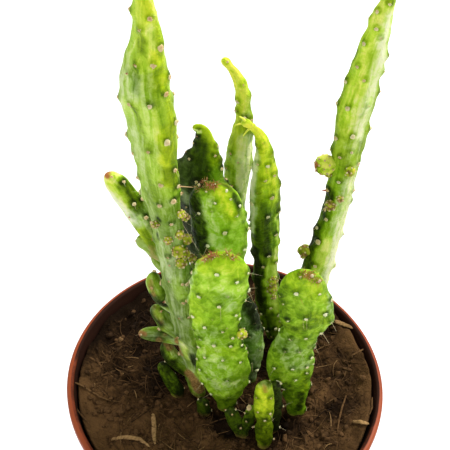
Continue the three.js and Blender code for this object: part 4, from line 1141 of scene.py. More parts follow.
class Mould:
    """Gathers the points, faces and marks of one piece."""

    def __init__(self, *marks):
        self.points, self.faces, self.count = [], [], 0
        self.marks = {name: [] for name in marks}

    def add(self, shape, **marks):
        """Adds a closed shape; marks are one number or row for each point, or one for all."""
        points = np.asarray(shape[0], float).reshape(-1, 3)
        self.points.append(points)
        self.faces.extend([[i + self.count for i in face] for face in shape[1]])
        self.count += len(points)
        for name, rows in self.marks.items():
            size = (len(points), 3) if name == "grain" else (len(points),)
            rows.append(np.broadcast_to(np.asarray(marks.get(name, 0.0), float), size))

    def mesh(self, name):
        """The mesh of all shapes, in metres, smooth, with its marks."""
        mesh = bpy.data.meshes.new(name)
        mesh.from_pydata((np.concatenate(self.points) * MM).tolist(), [], self.faces)
        mesh.polygons.foreach_set("use_smooth", [True] * len(mesh.polygons))
        for mark, rows in self.marks.items():
            kind, field = ("FLOAT_VECTOR", "vector") if mark == "grain" else ("FLOAT", "value")
            layer = mesh.attributes.new(mark, kind, "POINT")
            layer.data.foreach_set(field, np.concatenate(rows).astype(np.float32).ravel())
        mesh.validate()
        return mesh

    def piece(self, name, finish, node, slot):
        """Makes the piece, which stands for a node of the packed solids."""
        made = placed(name, self.mesh(name))
        made.data.materials.append(finish)
        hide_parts(node)
        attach(made, "root")
        return made


def placed(name, data):
    """A new object in the scene."""
    made = bpy.data.objects.new(name, data)
    bpy.context.scene.collection.objects.link(made)
    return made


def ring_faces(rings, sides):
    """Faces between rings of points, with one point before the rings and one after them."""
    faces = []
    for ring in range(rings - 1):
        low = 1 + ring * sides
        high = low + sides
        for k in range(sides):
            after = (k + 1) % sides
            faces.append([low + k, low + after, high + after, high + k])
    last = 1 + rings * sides
    for k in range(sides):
        after = (k + 1) % sides
        faces.append([0, 1 + after, 1 + k])
        faces.append([last - sides + k, last - sides + after, last])
    return faces


def circle(sides, first, second):
    """Points of a circle of radius 1, from its first direction towards its second."""
    turns = np.linspace(0, 2 * math.pi, sides, endpoint=False)
    return np.outer(np.cos(turns), first) + np.outer(np.sin(turns), second)


def turned(outline, sides):
    """A body turned round the pot's axis from (radius, height) rows, closed at both ends."""
    rings = [circle(sides, X * radius, Y * radius) + Z * z for radius, z in outline]
    points = np.concatenate([[Z * outline[0][1]], *rings, [Z * outline[-1][1]]])
    return points, ring_faces(len(rings), sides)


def side_directions(axis):
    """Two directions at right angles to an axis and to each other; the first is level."""
    first = unit(np.cross(axis, Z if abs(axis[2]) < 0.8 else X))
    return first, np.cross(axis, first)


def beside(axis, turn):
    """The direction at right angles to an axis that a turn about it gives."""
    first, second = side_directions(axis)
    return first * math.cos(turn) + second * math.sin(turn)


def strand(path, half, thickness=1.0, sides=4, point=0.25, blunt=0.0):
    """A closed strand along a path: its half width, and how much of it is left at its tip."""
    path = np.asarray(path, float)
    first, second = side_directions(unit(path[-1] - path[0]))
    ring = circle(sides, first, second * thickness)
    last = len(path) - 1
    points = [[path[0] - unit(path[1] - path[0]) * half * 0.5]]
    for i, centre in enumerate(path[:-1]):
        part = i / last
        width = 1 - (1 - point) * part - blunt * (2 * part - 1) ** 2
        points.append(centre + ring * half * width)
    points.append([path[-1]])
    return np.concatenate(points), ring_faces(last, sides)


def knob(middle, axis, width, height, rings=7, sides=12):
    """A rounded knob about a middle point: its points, faces and outward directions."""
    flat = circle(sides, *side_directions(axis))
    directions = [-axis[None, :]]
    for i in range(1, rings + 1):
        tilt = math.pi * i / (rings + 1)
        directions.append(flat * math.sin(tilt) - axis * math.cos(tilt))
    directions = np.concatenate([*directions, axis[None, :]])
    upright = directions @ axis
    sizes = np.outer(upright * height, axis) + (directions - np.outer(upright, axis)) * width
    return middle + sizes, ring_faces(rings, sides), directions


def uneven(shape, size, seed, depth):
    """A knob with bumps of a size and depth: its points and faces, directions and bumps."""
    points, faces, directions = shape
    bumps = rough(points, size, seed, 2)
    return (points + directions * (bumps * depth)[:, None], faces), directions, bumps


def tuft(mould, random, seat, out, count, length, half, spread, **marks):
    """A tuft of short bristles that fan out of one place."""
    for _ in range(count):
        sideways = beside(out, 2 * math.pi * random.random())
        lean = spread * math.sqrt(random.random())
        direction = unit(out + sideways * lean)
        root = seat + sideways * 0.35 * lean * length
        reach = length * (0.6 + 0.5 * random.random())
        bend = sideways * 0.12 * reach
        middle = root + direction * reach * 0.55 + bend * 0.3
        path = [root - direction * 0.3, middle, root + direction * reach + bend]
        mould.add(strand(path, half, sides=3), **marks)


# ---- finishes


class Signal:
    """A changing value in a finish, which adds, scales and compares like a number."""

    def __init__(self, finish, socket):
        self.finish, self.socket = finish, socket

    def _math(self, operation, left, right):
        return self.finish.add("ShaderNodeMath", {"operation": operation}, {0: left, 1: right})

    def __add__(self, other):
        return self._math("ADD", self, other)

    __radd__ = __add__

    def __mul__(self, other):
        return self._math("MULTIPLY", self, other)

    __rmul__ = __mul__

    def __sub__(self, other):
        return self._math("SUBTRACT", self, other)

    def __rsub__(self, other):
        return self._math("SUBTRACT", other, self)

    def step(self, low, high):
        """0 at low and 1 at high, and smooth between."""
        sockets = {"Value": self, "From Min": low, "From Max": high}
        return self.finish.add(
            "ShaderNodeMapRange", {"interpolation_type": "SMOOTHSTEP"}, sockets, "Result"
        )


class Finish:
    """A material that is put together in plain words."""

    def __init__(self, name):
        self.material = bpy.data.materials.new(name)
        self.material.use_nodes = True
        self.tree = self.material.node_tree
        self.tree.nodes.clear()

    def add(self, kind, settings=None, sockets=None, result=0):
        """Adds a node: its settings first, then its sockets; gives the output named as result."""
        node = self.tree.nodes.new(kind)
        for key, value in (settings or {}).items():
            if key == "stops":
                self.set_stops(node.color_ramp.elements, value)
            else:
                setattr(node, key, value)
        for key, value in (sockets or {}).items():
            if isinstance(value, Signal):
                self.tree.links.new(value.socket, node.inputs[key])
            else:
                node.inputs[key].default_value = value
        return Signal(self, node.outputs[result]) if len(node.outputs) else node

    def set_stops(self, elements, stops):
        """Sets a ramp's stops, each a position and a colour."""
        while len(elements) < len(stops):
            elements.new(0.5)
        for element, (position, colour) in zip(elements, stops):
            element.position, element.color = position, (*colour, 1.0)

    def mark(self, name, result="Fac"):
        """What the mesh carries at each point under a name."""
        settings = {"attribute_type": "GEOMETRY", "attribute_name": name}
        return self.add("ShaderNodeAttribute", settings, None, result)

    def place(self):
        """Where a point is in the object's own space."""
        return self.add("ShaderNodeTexCoord", None, None, "Object")

    def stretched(self, vector, scale):
        """A place scaled by three factors."""
        return self.add("ShaderNodeVectorMath", {"operation": "MULTIPLY"}, {0: vector, 1: scale})

    def clouds(self, vector, scale, detail=3.0, roughness=0.55, distortion=0.0):
        """Soft clouds from 0 to 1."""
        sockets = {
            "Vector": vector, "Scale": scale, "Detail": detail, "Roughness": roughness,
            "Distortion": distortion,
        }
        return self.add("ShaderNodeTexNoise", None, sockets)

    def blend(self, share, first, second, way="MIX"):
        """The first colour where share is 0 and the second, laid on in a way, where it is 1."""
        colours = [c if isinstance(c, Signal) else (*c, 1.0) for c in (first, second)]
        settings = {"data_type": "RGBA", "blend_type": way}
        return self.add("ShaderNodeMix", settings, {0: share, 6: colours[0], 7: colours[1]}, 2)

    def relief(self, height, strength, distance):
        """A bump from a height."""
        sockets = {"Height": height, "Strength": strength, "Distance": distance}
        return self.add("ShaderNodeBump", None, sockets)

    def surface(self, **sockets):
        """Ends the material with its shader."""
        named = {key.replace("_", " "): value for key, value in sockets.items()}
        shader = self.add("ShaderNodeBsdfPrincipled", None, named)
        self.add("ShaderNodeOutputMaterial", None, {"Surface": shader})
        return self.material


# The skin's colour from its darkest to its palest tone.
SKIN_TONES = [
    (0.0, (0.009, 0.016, 0.002)), (0.15, (0.030, 0.055, 0.003)), (0.3, (0.075, 0.135, 0.004)),
    (0.45, (0.145, 0.25, 0.008)), (0.6, (0.26, 0.415, 0.020)), (0.75, (0.41, 0.62, 0.055)),
    (0.9, (0.62, 0.81, 0.15)), (1.0, (0.82, 0.92, 0.34)),
]


def skin_finish(name, patches, streaks, veins):
    """Waxy cactus skin: toned and tinted by its marks, with patches, streaks and fine veins,
    painted shade round the areoles and in bud creases, a painted sheen in its grey wax and a
    painted glow in its young yellow.
    """
    look = bpy.context.scene.cactus_skin
    finish = Finish(name)
    place, grain = finish.place(), finish.mark("grain", "Vector")
    streak = finish.clouds(grain, 0.42, 4.0, 0.6, 0.8)
    patch = finish.clouds(grain, 0.17, 3.0, 0.6, 0.6)
    vein = finish.clouds(place, 420.0, 3.0, 0.6, 1.4)
    speck = finish.clouds(place, 1500.0, 2.0, 0.5)
    tone = finish.mark("tone")
    marble = (streak.step(0.38, 0.62) - 0.5) * streaks + (vein.step(0.36, 0.64) - 0.5) * veins
    wander = (patch.step(0.36, 0.64) - 0.5) * patches + marble + (speck - 0.5) * 0.16
    # Painted shade round the areoles and in bud creases darkens the tone.
    halo = finish.mark("halo")
    ruled = tone + wander * (tone * -0.55 + 1.0) - halo * 0.26
    colour = finish.add("ShaderNodeValToRGB", {"stops": SKIN_TONES}, {"Fac": ruled})
    uneven = (streak - 0.5) * 0.5 + (patch - 0.5) * 0.3
    # The gold mark is young yellow skin together with the painted glow of backlit tips.
    colour = finish.blend(finish.mark("gold") + uneven, colour, look.gold, "MULTIPLY")
    colour = finish.blend(finish.mark("lush") - marble * 2.0, colour, look.lush, "MULTIPLY")
    # The grey wax mark is the skin's glaucous wax together with a painted sheen where light grazes
    # the skin.
    waxy = finish.mark("bloom") + marble * 1.2
    grey = {"Saturation": 0.45, "Value": 1.0, "Fac": waxy.step(0.12, 1.1), "Color": colour}
    colour = finish.add("ShaderNodeHueSaturation", None, grey)
    corky = finish.blend(speck.step(0.35, 0.65), look.cork, tuple(c * 0.5 for c in look.cork))
    cork = (finish.mark("cork") + uneven * 0.7).step(0.2, 0.8)
    colour = finish.blend(cork, colour, corky)
    colour = finish.blend((finish.mark("blush") + uneven * 0.5).step(0.1, 0.9), colour, look.blush)
    height = vein * 0.8 + streak * 0.6 + speck * 0.15 + cork * speck
    return finish.surface(
        Base_Color=colour, Roughness=0.42 + vein * 0.16 + cork * 0.3,
        Normal=finish.relief(height, 0.8, 0.001), Specular_IOR_Level=0.12,
        Specular_Tint=(1.0, 1.0, 0.5, 1.0),
        Subsurface_Weight=0.04, Subsurface_Radius=(0.5, 1.0, 0.15), Subsurface_Scale=0.0015,
    )


def wool_finish():
    """Felted wool of the areoles, white to tan."""
    look = bpy.context.scene.cactus_areoles
    finish = Finish("areole_wool")
    felt = finish.clouds(finish.place(), 2600.0, 3.0, 0.6)
    colour = finish.blend(finish.mark("tone"), look.white_wool, look.tan_wool)
    colour = finish.blend(felt.step(0.55, 0.3) * 0.15, colour, look.tan_wool)
    colour = finish.blend(finish.mark("core"), colour, look.bristle)
    return finish.surface(
        Base_Color=colour, Roughness=0.95, Normal=finish.relief(felt, 0.6, 0.0002),
        Specular_IOR_Level=0.1,
    )


def spine_finish():
    """Horny spines and bristles, from straw to red brown."""
    look = bpy.context.scene.cactus_areoles
    finish = Finish("spines")
    grain = finish.clouds(finish.place(), 1800.0, 2.0)
    stops = [(0.0, look.straw_spine), (0.5, look.orange_spine), (1.0, look.red_spine)]
    colour = finish.add("ShaderNodeValToRGB", {"stops": stops}, {"Fac": finish.mark("tone")})
    colour = finish.blend(grain.step(0.4, 0.8) * 0.3, colour, look.orange_spine)
    return finish.surface(Base_Color=colour, Roughness=0.5 + grain * 0.2, Specular_IOR_Level=0.2)


def soil_finish():
    """Moist coir and peat, darker in the hollows."""
    look = bpy.context.scene.cactus_soil
    finish = Finish("coir_soil")
    place = finish.place()
    patch = finish.clouds(place, 75.0, 3.0, 0.6)
    clods = finish.clouds(place, 230.0, 4.0, 0.65, 2.5)
    dust = finish.clouds(place, 1000.0, 3.0, 0.65)
    tone = finish.mark("tone") + (patch - 0.5) * 0.9 + (clods - 0.5) * 1.2
    colour = finish.blend((tone + (dust - 0.5) * 0.6).step(-0.1, 1.2), look.dark, look.light)
    return finish.surface(
        Base_Color=colour, Roughness=0.85 + dust * 0.15, Specular_IOR_Level=0.05,
        Normal=finish.relief(clods + dust * 0.4, 0.9, 0.0014),
    )


def litter_finish():
    """Coir fibres, husk chips and crumbs: each piece has its own tone."""
    look = bpy.context.scene.cactus_soil
    finish = Finish("coir_litter")
    dust = finish.clouds(finish.place(), 1100.0, 3.0, 0.65)
    tone = finish.mark("tone")
    colour = finish.blend(tone.step(0.0, 0.5), look.dark, look.light)
    colour = finish.blend(tone.step(0.5, 1.0), colour, look.straw)
    colour = finish.blend(dust.step(0.6, 0.35) * 0.5, colour, look.dark)
    return finish.surface(
        Base_Color=colour, Roughness=0.8 + dust * 0.15, Specular_IOR_Level=0.1,
        Normal=finish.relief(dust, 0.7, 0.0003),
    )


def plastic_finish():
    """Moulded terracotta plastic with a faint satin grain, soil dust with painted shade on the
    inner wall, and a painted highlight on the front of the lip's outer edge.
    """
    look = bpy.context.scene.cactus_pot
    finish = Finish("nursery_pot_plastic")
    place = finish.place()
    grain = finish.clouds(place, 1500.0, 3.0, 0.6)
    flow = finish.clouds(finish.stretched(place, (1.0, 1.0, 0.2)), 60.0, 3.0, 0.55)
    smears = finish.clouds(place, 140.0, 4.0, 0.65)
    darker = tuple(channel * 0.75 for channel in look.plastic)
    colour = finish.blend(flow.step(0.35, 0.7) * 0.6, look.plastic, darker)
    # A painted highlight on the lip's outer edge.
    colour = finish.blend(finish.mark("edge") * 0.75, colour, look.worn)
    # Soil dust and painted shade on the inner wall and the lip's inner edge, deeper at the back.
    soiled = (finish.mark("inner") + (smears - 0.5) * 0.5).step(0.25, 0.6)
    colour = finish.blend(soiled * 0.95, colour, look.stain)
    return finish.surface(
        Base_Color=colour, Roughness=0.42 + grain * 0.12 + soiled * 0.3, Specular_IOR_Level=0.15,
        Normal=finish.relief(grain + smears * 0.4, 0.2, 0.0002),
    )


def floor_finish():
    """A plain pale floor that gives a little light."""
    look = bpy.context.scene.cactus_stage
    finish = Finish("pale_floor")
    veil = finish.clouds(finish.place(), 3.0, 2.0)
    shade = tuple(channel * 0.99 for channel in look.floor)
    return finish.surface(
        Base_Color=finish.blend(veil, look.floor, shade), Roughness=0.9, Specular_IOR_Level=0.1,
        Emission_Color=(1.0, 1.0, 1.0, 1.0), Emission_Strength=look.glow,
    )


# ---- operators


class CACTUS_OT_pot(bpy.types.Operator):
    """Turns the nursery pot, with its rolled lip and drain holes"""

    bl_idname = "cactus.make_pot"
    bl_label = "Make the pot"

    SIDES = 192
    BEND_STEPS, WALL_STEPS, INNER_STEPS = 7, 26, 20
    # Radii of the rounded edges: the pot's foot, and the lip's underside, outer and inner edge.
    FOOT, UNDERSIDE, OUTER_EDGE, INNER_EDGE = 2.0, 0.8, 1.2, 0.9
    # How much soil dust and painted shade the lip's inner edge has, and how much more painted shade
    # the back of the pot's inside has.
    LIP_DUST, BACK_DUST = 0.42, 0.5
    DRAIN_HOLES = 6
    DRAIN_RADIUS = 4.0
    DRAIN_RING = 28.0
    DRAIN_DEPTHS = (-3.0, 4.0)
    DRAIN_SIDES = 32

    def outline(self):
        """The pot's half section: radius, height, how far inside the pot, how much painted
        highlight the edge has.
        """
        look = bpy.context.scene.cactus_pot
        height, rim, wall = look.height / MM, look.rim_radius / MM, look.wall / MM
        base, lip = look.base_radius / MM, look.lip_height / MM
        under, mouth = height - lip, rim - look.lip_width / MM
        rows = [(base - self.FOOT, 0.0, 0.0, 0.0)]

        def bend(radius, z, size, first, last, inner=0.0, edge=0.0):
            """A rounded edge about a middle, between two angles."""
            for turn in np.linspace(math.radians(first), math.radians(last), self.BEND_STEPS):
                x, up = size * math.cos(turn), size * math.sin(turn)
                rows.append((radius + x, z + up, inner, edge))

        bend(base - 1.8, self.FOOT, self.FOOT, -80, 0)
        for z in np.linspace(2 * self.FOOT, under - 1.2, self.WALL_STEPS):
            rows.append((wall_radius(z), z, 0.0, 0.0))
        rows.append((wall_radius(under) + 0.15, under - 0.35, 0.0, 0.0))
        bend(rim - self.UNDERSIDE, under + self.UNDERSIDE, self.UNDERSIDE, -90, 0)
        bend(rim - self.OUTER_EDGE, height - self.OUTER_EDGE, self.OUTER_EDGE, 0, 80, edge=1.0)
        size = self.INNER_EDGE
        bend(mouth + size, height - size, size, 90, 180, inner=self.LIP_DUST)
        for z in np.linspace(height - 1.6, wall * 2, self.INNER_STEPS):
            rows.append((wall_radius(z) - wall, z, 1.0, 0.0))
        rows.append((wall_radius(wall) - wall * 2, wall, 1.0, 0.0))
        return rows

    def execute(self, context):
        rows = self.outline()
        mould = Mould("inner", "edge")
        inner, edge = (np.repeat([row[k] for row in rows], self.SIDES) for k in (2, 3))
        inner, edge = np.concatenate([[0.0], inner, [1.0]]), np.concatenate([[0.0], edge, [0.0]])
        points, faces = turned([row[:2] for row in rows], self.SIDES)
        # Painted shade deepens the inside towards the back, and the painted highlight on the lip's
        # edge is kept to the front.
        behind = ramp(points[:, 1] + 0.25 * points[:, 0], -22.0, 28.0)
        inner += self.BACK_DUST * behind * (inner > 0.3)
        mould.add((points, faces), inner=inner, edge=edge * (1 - behind))
        self.drill(context, mould.piece("pot_shell", plastic_finish(), "pot", "pot"))
        return {"FINISHED"}

    def drill(self, context, pot):
        """Cuts the drain holes through the base."""
        drills = Mould()
        for i in range(self.DRAIN_HOLES):
            angle = 2 * math.pi * i / self.DRAIN_HOLES
            points, faces = turned(
                [(self.DRAIN_RADIUS, z) for z in self.DRAIN_DEPTHS], self.DRAIN_SIDES
            )
            centre = (X * math.cos(angle) + Y * math.sin(angle)) * self.DRAIN_RING
            drills.add((points + centre, faces))
        cutter = placed("drills", drills.mesh("drills"))
        cut = pot.modifiers.new("drain_holes", "BOOLEAN")
        cut.operation, cut.solver, cut.object = "DIFFERENCE", "EXACT", cutter
        context.view_layer.update()
        evaluated = pot.evaluated_get(context.evaluated_depsgraph_get())
        drilled = bpy.data.meshes.new_from_object(evaluated)
        pot.modifiers.clear()
        pot.data = drilled
        bpy.data.objects.remove(cutter)


def wall_radius(z):
    """Outer radius of the pot's wall at a height."""
    look = bpy.context.scene.cactus_pot
    neck = (look.rim_radius - look.lip_width + look.wall - look.base_radius) / MM
    return look.base_radius / MM + neck * z / (look.height / MM)


CLOD_SIZE, CRUMBLE_SIZE, BANK_SIZE = 7.0, 2.2, 8.0


def soil_height(x, y):
    """The top of the soil: a low swell, as in the solids, with clods and creases on it."""
    swell = np.sin(x * 0.21 + 1.3) * np.cos(y * 0.17 - 0.6)
    swell = swell + np.sin(x * 0.47 - y * 0.39 + 2.1) * 0.6
    flat = np.stack([x, y, np.zeros_like(x)], axis=-1).reshape(-1, 3)
    clods = 0.45 - np.abs(rough(flat, CLOD_SIZE, NOISE["clods"], 2))
    crumble = clods * 2.8 + rough(flat, CRUMBLE_SIZE, NOISE["crumble"], 3) * 1.3
    ragged = 0.5 + lumps(flat, BANK_SIZE, NOISE["bank"]).reshape(np.shape(x))
    bank = (1.6 + 2.2 * ramp(x, 15.0, 45.0)) * ramp(np.hypot(x, y), 48.5, 57.0) * ragged
    return SOIL_LEVEL - 0.3 + 0.78 * swell + crumble.reshape(np.shape(x)) + bank


def soil_tone(points):
    """How light the soil is: dark in hollows, painted shade by the wall, and patches of damp and
    drier coir with painted shadow among the stems.
    """
    tone = 0.42 * ramp(points[:, 2], SOIL_LEVEL - 2.2, SOIL_LEVEL + 2.4) + 0.1
    shade = 0.35 - 0.3 * ramp(points[:, 0], 15.0, 45.0)
    tone -= shade * ramp(np.hypot(points[:, 0], points[:, 1]), 50.0, 55.0)
    for x, y, radius, change in rows_of(SOIL_PATCHES):
        square = np.sum((points[:, :2] - on_soil(x, y)[:2]) ** 2, axis=1)
        tone += change * np.exp(-square / radius**2)
    return tone


class CACTUS_OT_soil(bpy.types.Operator):
    """Fills the pot with coir soil"""

    bl_idname = "cactus.make_soil"
    bl_label = "Make the soil"

    SIDES = 220
    RING_GAP = 0.75
    WALL_GAP = 0.3
    FLOOR_BEND = 1.2
    WALL_HEIGHTS = (20.0, 45.0, 70.0, SOIL_LEVEL - 5.0)
    EDGE_DROP = 1.2

    def execute(self, context):
        wall = context.scene.cactus_pot.wall / MM

        def inside(z):
            """The soil's radius at a height."""
            return wall_radius(z) - wall - self.WALL_GAP

        floor, edge = wall + self.WALL_GAP, inside(SOIL_LEVEL - 2.0)
        walls = [(inside(floor) - self.FLOOR_BEND, floor)]
        walls += [(inside(z), z) for z in self.WALL_HEIGHTS]
        radii = [edge, edge - 0.3, *np.arange(edge - 0.9, 1.0, -self.RING_GAP)]
        points, faces = turned(walls + [(radius, SOIL_LEVEL) for radius in radii], self.SIDES)
        top = 1 + len(walls) * self.SIDES
        points[top:, 2] = soil_height(points[top:, 0], points[top:, 1])
        points[top:top + self.SIDES, 2] -= self.EDGE_DROP
        mould = Mould("tone")
        mould.add((points, faces), tone=soil_tone(points))
        mould.piece("soil_bed", soil_finish(), "soil", "soil")
        return {"FINISHED"}


class CACTUS_OT_litter(bpy.types.Operator):
    """Scatters crumbs, fibres and husk chips on the soil"""

    bl_idname = "cactus.make_litter"
    bl_label = "Make the soil's litter"

    EDGE = 54.5
    # The least size of a crumb, the spread of sizes above it, and the palest tone.
    CRUMB_SIZE, CRUMB_SPREAD, CRUMB_TONE = 0.3, 1.1, 0.42
    # The least length of a fibre or chip, the spread of lengths above it, and the steps along it.
    LONG_FIBRE, SHORT_FIBRE, CHIP = (12, 18, 12), (3, 8, 7), (2, 4.5, 7)
    LONG_SHARE, FIBRE_BEND = 0.16, 2.4
    # The bead's point in the photograph and its radius.
    BEAD, BEAD_TONE = (121.0, 340.0, 1.1), 0.72

    def spot(self, random, margin):
        """A random place on the soil."""
        radius = (self.EDGE - margin) * math.sqrt(random.random())
        turn = 2 * math.pi * random.random()
        return radius * math.cos(turn), radius * math.sin(turn)

    def clear_of_stems(self, points, clearance=0.3):
        """Whether points lie outside every stem."""
        pads = (pad for name in STEMS for pad in pads_of(name))
        return not any(np.any(pad.holds(points, clearance)) for pad in pads)

    def lay(self, x, y, lift):
        """A path that lies on the soil along level points."""
        ground = soil_height(x, y)
        level = np.convolve(np.pad(ground, 2, mode="edge"), np.full(5, 0.2), "valid")
        return np.stack([x, y, np.maximum(level, ground - 0.3) + lift], axis=1)

    def execute(self, context):
        look = context.scene.cactus_soil
        random = np.random.default_rng(SEED + 1)
        for name, make in (
            ("crumbs", self.crumb), ("fibres", self.fibre), ("chips", self.chip),
        ):
            mould, made = Mould("tone"), 0
            while made < getattr(look, name):
                made += make(mould, random)
            if name == "chips":
                self.named_litter(mould)
            mould.piece("soil_" + name, litter_finish(), "soil", "soil")
        return {"FINISHED"}

    def crumb(self, mould, random):
        """One uneven crumb."""
        x, y = self.spot(random, 1.0)
        size = self.CRUMB_SIZE + self.CRUMB_SPREAD * random.random() ** 2.6
        middle = np.array([x, y, soil_height(np.array([x]), np.array([y]))[0] + size * 0.1])
        height = size * (0.4 + 0.3 * random.random())
        shape = knob(middle, unit(random.normal(size=3)), size, height, 5, 8)
        shape = uneven(shape, size * 1.1, NOISE["crumbs"], size * 0.9)[0]
        # A crumb takes the tone of the soil under it, painted shadow included.
        tone = 0.4 * soil_tone(middle[None, :])[0] + 0.3 * random.random()
        mould.add(shape, tone=min(tone, self.CRUMB_TONE))
        return True

    def fibre(self, mould, random):
        """One coir fibre, if it fits between the stems."""
        x, y = self.spot(random, 3.0)
        long_one = random.random() < self.LONG_SHARE
        least, spread, steps = self.LONG_FIBRE if long_one else self.SHORT_FIBRE
        length = least + spread * random.random()
        part = np.linspace(0, 1, steps)
        bend = (random.random() - 0.5) * self.FIBRE_BEND
        turn = 2 * math.pi * random.random() + bend * (part - 0.5)
        x = x + np.cumsum(np.cos(turn)) * length / steps
        y = y + np.cumsum(np.sin(turn)) * length / steps
        path = self.lay(x, y, 0.2 + 0.9 * random.random() * np.sin(part * math.pi))
        if np.max(np.hypot(x, y)) > self.EDGE - 0.6 or not self.clear_of_stems(path):
            return False
        half = 0.08 + 0.16 * random.random() ** 2 + (0.05 if long_one else 0.0)
        # A fibre takes the tone of the soil under it, painted shadow included.
        dry = np.clip(0.35 + 1.8 * soil_tone(path[:1])[0], 0.25, 1.0)
        mould.add(strand(path, half, sides=5), tone=dry * (0.2 + 0.65 * random.random() ** 2))
        return True

    def chip(self, mould, random):
        """One flat chip of husk, if it fits between the stems."""
        x, y = self.spot(random, 5.0)
        least, spread, steps = self.CHIP
        length, half = least + spread * random.random(), 0.4 + 0.6 * random.random()
        heading = math.pi * random.random()
        part = np.linspace(-0.5, 0.5, steps) * length
        path = self.lay(x + np.cos(heading) * part, y + np.sin(heading) * part, 0.3)
        if not self.clear_of_stems(path, half):
            return False
        # A chip takes the tone of the soil under it, painted shadow included.
        dry = np.clip(0.2 + 1.4 * soil_tone(path[:1])[0], 0.15, 1.0)
        tone = dry * (0.25 + 0.4 * random.random())
        mould.add(strand(path, half, 0.3, 6, 0.8, 0.5), tone=tone)
        return True

    def named_litter(self, mould):
        """The straws and chips that the photograph shows, and one grey bead."""
        for line in NAMED_LITTER.strip().splitlines():
            form, spots = line.split(":")
            half, thickness, tone = rows_of(form)[0]
            places = np.array([on_soil(x, y) for x, y in rows_of(spots)])
            part = np.linspace(0, len(places) - 1, 6 * (len(places) - 1) + 1)
            x, y = (np.interp(part, range(len(places)), places[:, k]) for k in (0, 1))
            path = self.lay(x, y, half * thickness * 0.7 + 0.2)
            mould.add(strand(path, half, thickness, 8, 0.7, 0.35), tone=tone)
        x, y, radius = self.BEAD
        middle = on_soil(x, y).copy()
        middle[2] = soil_height(middle[:1], middle[1:2])[0] + radius * 0.4
        shape = uneven(knob(middle, Z, radius, radius * 0.8), 0.8, NOISE["bead"], 0.15)[0]
        mould.add(shape, tone=self.BEAD_TONE)


@cache
def on_soil(x, y):
    """The place on the soil at a point of the photograph."""
    ray, level = ray_to(x, y), SOIL_LEVEL
    for _ in range(3):
        place = CAMERA_AT + ray * ((level - CAMERA_AT[2]) / ray[2])
        level = soil_height(place[:1], place[1:2])[0]
    return place


# A stroke's reach and the steps along it as parts of its width, and how crisp its edge is.
STROKE_REACH, STROKE_STEP, STROKE_EDGE = 2.6, 0.3, 1.6
# How much darker the foot of a stem is and below what height, and how corky.
FOOT_SHADE, SHADE_HEIGHT, FOOT_CORK, CORK_HEIGHT = 0.25, 20.0, 0.5, 6.0


def stroke_share(stem_name, spots, width, points):
    """How much of a stroke reaches each point: 1 on its line, fading over its width."""
    line = np.array([spot_under(stem_name, x, y)[3] for x, y in rows_of(spots)])
    track = np.concatenate([
        np.linspace(a, b, max(int(np.linalg.norm(b - a) / (width * STROKE_STEP)), 2))
        for a, b in zip(line[:-1], line[1:])
    ])
    reach = STROKE_REACH * width
    low, high = track.min(axis=0) - reach, track.max(axis=0) + reach
    close = np.all((points > low) & (points < high), axis=1)
    nearest = np.full(len(points), np.inf)
    offset = points[close][:, None, :] - track[None, :, :]
    nearest[close] = np.min(np.sum(offset * offset, axis=2), axis=1)
    return np.exp(-((nearest / width**2) ** STROKE_EDGE))


def painted(stem_name, points, outs):
    """The marks of skin points: the base, then each stroke laid over what is there."""
    base = STEMS[stem_name]["base"]
    marks = {name: np.full(len(points), base.get(name, 0.0)) for name in MARKS}
    marks["tone"] += 0.1 * rough(points, 11.0, NOISE["tone"], 2)
    low = points[:, 2] - SOIL_LEVEL
    marks["tone"] -= FOOT_SHADE * ramp(low, SHADE_HEIGHT, 0.0)
    marks["cork"] += FOOT_CORK * ramp(low, CORK_HEIGHT, -1.0)
    seen = ramp(facing_camera(points, outs), -0.35, 0.15)
    shifts = [rough(points, 2.4, NOISE["strokes"] + axis, 2) for axis in range(3)]
    ragged = points + np.stack(shifts, axis=1)
    for line in STROKES.get(stem_name, "").strip().splitlines():
        forms, spots = line.split(":")
        for form in forms.split(","):
            name, level, width = form.split()
            share = stroke_share(stem_name, spots, float(width), ragged) * seen
            marks[name] += (float(level) - marks[name]) * share
    return marks


# How strong the patches, streaks and veins are in the skin of each slot.
SKINS = {
    "stem_pale": (0.12, 0.28, 0.1),
    "stem_bright": (0.22, 0.22, 0.12),
    "stem_green": (0.18, 0.25, 0.12),
    "stem_deep": (0.06, 0.12, 0.1),
}


